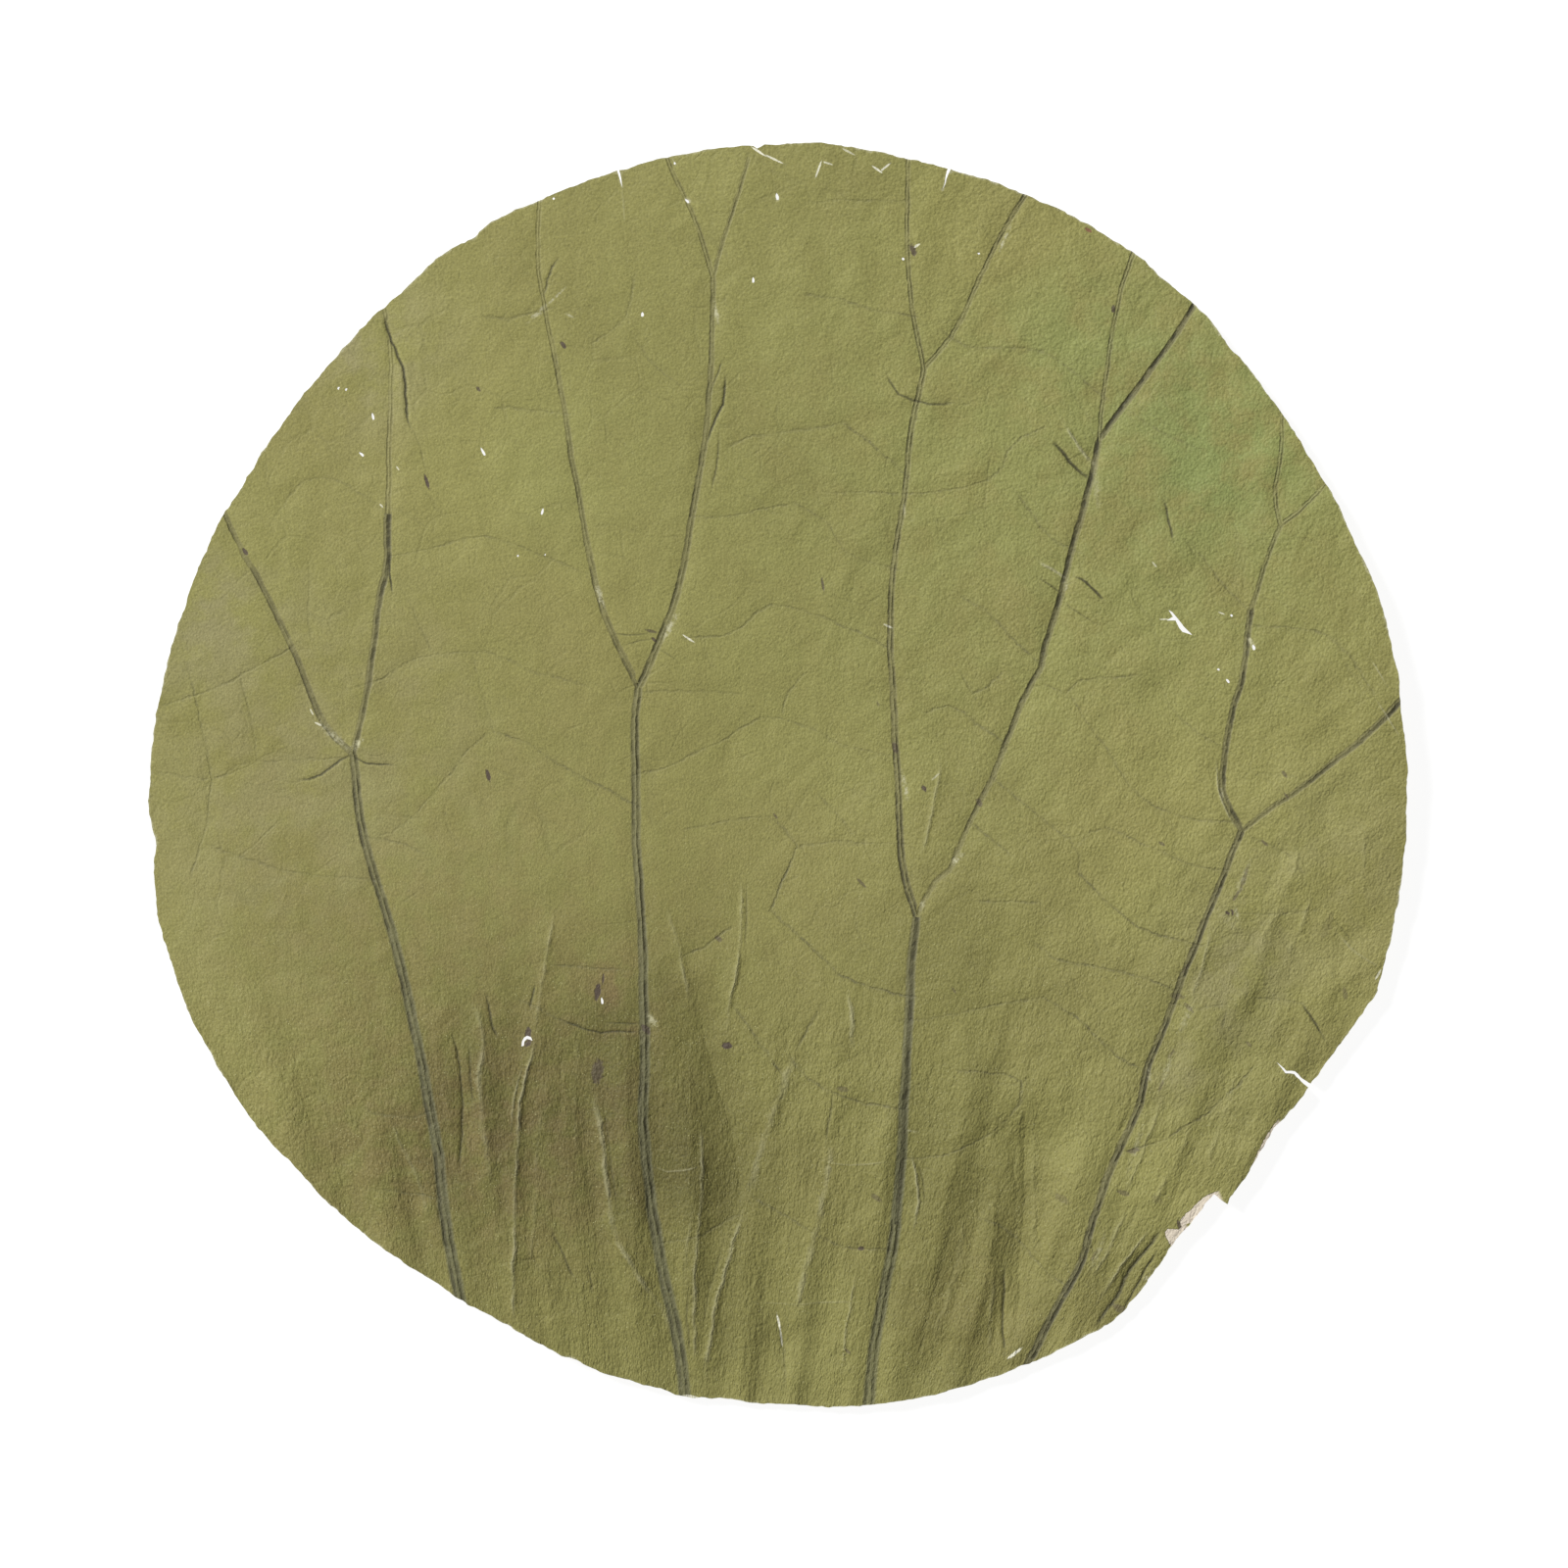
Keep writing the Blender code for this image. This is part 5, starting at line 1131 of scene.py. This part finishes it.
def upper_finish():
    """Matte olive skin: mottled, leathery, with stains and painted shade, painted shadow in the vein furrows
    and dark creases, painted highlights on pale crease crests and specks, a fine net, creases, spots and
    rubs.
    """
    mix = Mix("upper_skin", *UPPER_SHEEN)
    place = mix.place
    x, y, _ = mix.parts(mix.moved(-PETIOLE[0], -PETIOLE[1]))
    ray, reach = mix.times(mix.maths("ARCTAN2", x, y), FAN_MEASURED_AT), mix.reach(x, y)
    near = mix.eased(y, *COARSE_ALONG)
    coarse = mix.larger(near, mix.eased(mix.parts(place)[0], *COARSE_ACROSS))

    def fan(share):
        """Places in the fan from the petiole, drawn out along it where the share is small."""
        return mix.joined(ray, mix.times(reach, share))

    patches = mix.clouds(place, PATCH, 4.0, 0.6)
    streaks = mix.clouds(fan(0.10), STREAK)
    fine_streaks = mix.clouds(fan(0.26), FINE_STREAK, 3.0, 0.6)
    wrinkles = mix.valleys(mix.clouds(fan(0.50), WRINKLE, 2.0, 0.55))
    leather = mix.clouds(fan(0.62), LEATHER, 3.0, 0.62, 0.4)
    pores = mix.clouds(fan(0.62), PORE)
    pebbles = mix.cells(fan(0.62), PEBBLE, "F1")
    # Pale specks, partly painted glints
    specks_and_glints = mix.times(mix.eased(mix.cells(place, SPECK, "F1"), 0.20, 0.07), mix.patchy(1.7, 0.48, 0.58),
                       mix.total(0.30, mix.times(mix.eased(y, *SPECKS_ALONG), 0.55)))

    # The darker share is painted shade as well as stain: it tints towards dark olive and lowers the
    # brightness
    dark, green, brown = mix.kept("stain_and_shade")
    skin = mix.layered(
        OLIVE,
        (mix.times(mix.patchy(BROAD_PATCH, 0.42, 0.72, 3.0, 0.55), 0.35), OLIVE_BROWN),
        (mix.larger(mix.times(dark, 1.1)), DARK_OLIVE),
        (mix.larger(mix.times(green, mix.eased(patches, 0.30, 0.60))), OLIVE_GREEN),
        (mix.larger(mix.times(green, mix.eased(patches, 0.35, 0.62), -0.6)), GREY_BROWN),
        (mix.times(brown, mix.patchy(4.0, 0.35, 0.62, 3.0)), RUST_BROWN),
    )
    shade = mix.total(
        1.0,
        mix.times(dark, STAIN_AND_PAINTED_SHADE),
        mix.swing(patches, PATCH_SHADE),
        mix.swing(leather, LEATHER_SHADE),
        mix.swing(pores, PORE_SHADE),
        mix.swing(streaks, near, STREAK_SHADE),
        mix.swing(fine_streaks, near, FINE_STREAK_SHADE),
    )

    drift = mix.joined(mix.clouds(place, 9.0, 1.0), mix.clouds(mix.moved(40.0, 9.0), 9.0, 1.0))
    warped = mix.vector("ADD", place, mix.vector("SCALE", drift, scale=6.0))
    cell_line = mix.times(mix.eased(mix.cells(warped, NET_CELL, "DISTANCE_TO_EDGE"), 0.030, 0.006),
                          mix.patchy(9.0, 0.46, 0.60))
    small_line = mix.times(mix.eased(mix.cells(warped, SMALL_CELL, "DISTANCE_TO_EDGE"), 0.07, 0.015),
                           mix.patchy(8.0, 0.50, 0.66))
    across, fade, _ = mix.kept("net_line")
    gap = mix.size(mix.total(across, mix.wander(5.0, 1.1), mix.wander(0.9, 0.60, 3.0)))
    broken = mix.at_least(0.52, mix.patchy(4.0, 0.38, 0.58, 3.0))
    net_line = mix.times(mix.eased(gap, 0.30, 0.04), fade, broken)
    net_halo = mix.times(mix.eased(gap, 0.9, 0.1), fade, broken)
    dotted = mix.at_least(0.35, mix.patchy(0.55, 0.42, 0.58))
    net_ink = mix.total(mix.times(net_line, dotted), mix.times(net_halo, 0.14), mix.times(cell_line, 0.10),
                        mix.times(small_line, 0.06))

    inked_shadow, furrow, band, fold, half = vein_shapes(mix)
    trunk = mix.eased(half, 0.50, 0.85)
    ridge = mix.toned(mix.tinted(trunk, VEIN_RIDGE, TRUNK_RIDGE), mix.total(0.72, mix.times(leather, 0.5)))

    crease, height, ink = mix.kept("crease_line")
    gap = mix.size(mix.total(crease, mix.wander(3.6, 1.5, 4.0, 0.6)))
    crest = mix.maths("POWER", mix.larger(mix.rest_of(gap)), 1.7)
    lasting = mix.larger(mix.at_least(0.25, mix.patchy(6.0, 0.36, 0.60)),
                         mix.eased(mix.size(ink), 0.35, 0.58))
    core = mix.times(mix.eased(gap, 0.50, 0.10), lasting)

    rubbed = mix.times(mark(mix, "rub", 1.6, 0.0), mix.patchy(0.7, 0.35, 0.62, 3.0, 0.7), 1.5)
    spots = mark(mix, "dark_mark", 1.1)
    fringe = mix.total(mix.kept("fringe")[0], mix.times(mix.clouds(place, 0.8, 3.0), 0.7))
    fringe = mix.times(mix.eased(fringe, 1.0, 1.35), mix.patchy(7.0, 0.42, 0.62, 3.0))
    torn, past, _ = mix.kept("torn_line")
    bare = mix.times(mix.eased(mix.total(torn, mix.wander(0.7, 0.5, 3.0)), 0.0, -0.08),
                     mix.eased(torn, -4.0, -3.0), mix.eased(past, 1.2, 0.4))
    fibre = mix.toned(FIBRE, mix.total(0.75, mix.times(mix.clouds(fan(0.10), 0.8, 3.0), 0.5)))
    colour = mix.layered(
        mix.toned(skin, shade),
        (specks_and_glints, PALE_SPECK_AND_GLINT),
        (net_ink, NET_INK),
        (mix.graded(band, trunk, (0.60, 0.25)), ridge),
        # Painted shadow in the vein furrows, closing towards one line where a vein folds
        (mix.graded(inked_shadow, trunk, (0.92, -0.14)), FURROW_SHADOW),
        # Painted shadow along fine creases whose ink is below zero
        (mix.larger(mix.times(core, ink, -0.85)), FURROW_SHADOW),
        # Pale crests of fine creases whose ink is above zero: painted highlight as well as rub
        (mix.larger(mix.times(core, ink, 0.75)), RUBBED),
        (rubbed, RUBBED),
        (spots, BRUISE),
        (mark(mix, "red_mark", 0.8), REDDISH),
        (mark(mix, "pale_mark", 0.9), SCUFFED),
        (mix.times(fringe, 0.75), RUBBED),
        (bare, fibre),
    )

    bend = mix.wander(12.0, 0.25)
    bent, depth, _ = mix.kept("fold_line")
    plane = mix.maths("POWER", mix.larger(mix.rest_of(mix.size(mix.total(bent, bend)))), 1.25)
    crinkle_place = mix.joined(mix.total(ray, mix.times(bend, 8.0)), mix.times(reach, 0.42))
    crinkles = mix.times(mix.valleys(mix.clouds(crinkle_place, CRINKLE)),
                         mix.graded(mix.patchy(15.0, 0.40, 0.58), coarse, (0.25, 0.75)))
    bump = mix.total(
        mix.graded(leather, coarse, LEATHER_RISE),
        mix.graded(pores, coarse, PORE_RISE),
        mix.graded(pebbles, coarse, PEBBLE_RISE),
        mix.times(specks_and_glints, SPECK_RISE),
        mix.times(mix.clouds(place, 1.9, 2.0, 0.6), LUMP_RISE),
        mix.graded(wrinkles, near, WRINKLE_RISE),
        mix.graded(mix.valleys(mix.clouds(place, RIDGE, 1.0)), coarse, RIDGE_RISE),
        mix.graded(mix.valleys(mix.clouds(mix.moved(13.0, 71.0), HOLLOW, 1.0)), coarse, HOLLOW_RISE),
        mix.times(mix.valleys(streaks), near, STREAK_VALLEY_RISE),
        mix.times(streaks, near, STREAK_RISE),
        mix.times(fine_streaks, near, FINE_STREAK_RISE),
        mix.times(furrow, FURROW_RISE),
        mix.times(fold, VEIN_FOLD_RISE),
        mix.times(net_line, NET_RISE),
        mix.times(cell_line, CELL_RISE),
        mix.times(small_line, SMALL_CELL_RISE),
        mix.times(crest, height, lasting, CREASE_RISE),
        mix.times(crinkles, CRINKLE_RISE),
        mix.times(plane, depth, WIDE_FOLD_RISE),
        mix.times(spots, SPOT_RISE),
        mix.times(bare, BARE_RISE),
    )
    return mix.finished(colour, bump)


def lower_finish():
    """Paler, dull underside with tan ribs and a raised net."""
    mix = Mix("under_skin", *UNDER_SHEEN)
    skin = mix.tinted(mix.patchy(9.0, 0.35, 0.70, 4.0, 0.6), UNDERSIDE, UNDERSIDE_DARK)
    leather = mix.clouds(mix.place, 0.55, 3.0, 0.6)
    across, fade, _ = mix.kept("net_line")
    net_line = mix.times(mix.eased(mix.size(across), 0.55, 0.15), mix.eased(fade, 0.0, 0.3))
    _, _, band, _, _ = vein_shapes(mix)
    small_line = mix.eased(mix.cells(mix.place, 3.2, "DISTANCE_TO_EDGE"), 0.08, 0.02)
    colour = mix.layered(
        mix.toned(skin, mix.total(0.80, mix.times(leather, 0.40))),
        (mix.times(net_line, 0.55), UNDERSIDE_RIB),
        (mix.times(band, 0.80), UNDERSIDE_RIB),
        (mix.times(small_line, 0.18), UNDERSIDE_DARK),
    )
    bump = mix.total(mix.times(leather, 0.07), mix.times(net_line, 0.12), mix.times(small_line, 0.05),
                     mix.times(mix.clouds(mix.place, 2.4, 3.0), 0.12))
    return mix.finished(colour, bump)


def rim_finish():
    """Cut and torn edge of the blade: pale, dry fibre."""
    mix = Mix("torn_rim", *RIM_SHEEN)
    fibre = mix.clouds(mix.place, 0.5, 4.0, 0.65)
    colour = mix.tinted(mix.eased(fibre, 0.35, 0.65), RIM_PALE, RIM_DARK)
    return mix.finished(colour, mix.times(fibre, 0.12))


# The scene

def leaf():
    """The whole leaf as one piece, in place of the CAD leaf."""
    mesh = leaf_mesh()
    write_lines(mesh)
    for name, marks in (("dark_mark", DARK_MARKS), ("red_mark", RED_MARKS), ("pale_mark", PALE_MARKS),
                        ("rub", RUBS)):
        write_marks(mesh, name, marks)
    write_stains_and_shade(mesh)
    for material in (lower_finish(), upper_finish(), rim_finish()):
        mesh.materials.append(material)
    piece = placed("lotus_leaf", mesh)
    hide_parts("leaf")
    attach(piece, "root")


def placed(name, data):
    """A new object in the scene."""
    thing = bpy.data.objects.new(name, data)
    bpy.context.scene.collection.objects.link(thing)
    return thing


def floor():
    """Plain pale table top that glows softly, as a light table does."""
    bm = bmesh.new()
    bmesh.ops.create_grid(bm, x_segments=1, y_segments=1, size=FLOOR_REACH)
    bmesh.ops.translate(bm, verts=bm.verts[:], vec=(0.0, 0.0, -FLOOR_DROP * MM))
    mesh = bpy.data.meshes.new("table_top")
    bm.to_mesh(mesh)
    bm.free()
    material = bpy.data.materials.new("table_white")
    material.use_nodes = True
    sockets = material.node_tree.nodes["Principled BSDF"].inputs
    sockets["Base Color"].default_value = (FLOOR_GREY, FLOOR_GREY, FLOOR_GREY, 1.0)
    sockets["Roughness"].default_value, sockets["Specular IOR Level"].default_value = FLOOR_SHEEN
    sockets["Emission Color"].default_value = WHITE
    sockets["Emission Strength"].default_value = FLOOR_GLOW
    mesh.materials.append(material)
    placed("table_top", mesh)


def studio():
    """Even white surroundings, and a square soft box at the far left that faces the middle of the leaf."""
    world = bpy.data.worlds.new("studio")
    world.use_nodes = True
    background = world.node_tree.nodes["Background"]
    background.inputs["Color"].default_value = WHITE
    background.inputs["Strength"].default_value = ROOM_LIGHT
    bpy.context.scene.world = world
    light = bpy.data.lights.new("key_box", "AREA")
    light.size = BOX_SIZE
    light.energy = BOX_POWER
    box = placed("key_box", light)
    box.location = BOX_PLACE
    box.rotation_euler = (-Vector(BOX_PLACE)).to_track_quat("-Z", "Y").to_euler()
    bpy.context.scene.view_settings.view_transform = "Standard"


def camera():
    """Looks straight down, with the whole leaf in a square frame."""
    data = bpy.data.cameras.new("camera")
    data.lens = LENS
    data.sensor_width = SENSOR
    data.clip_start, data.clip_end = SEEN_FROM, SEEN_TO
    eye = placed("camera", data)
    reach = FRAME_WIDTH * LENS / SENSOR + SUBJECT_HEIGHT
    eye.location = (LOOK_AT[0] * MM, LOOK_AT[1] * MM, reach * MM)
    bpy.context.scene.camera = eye


camera()
leaf()
floor()
studio()
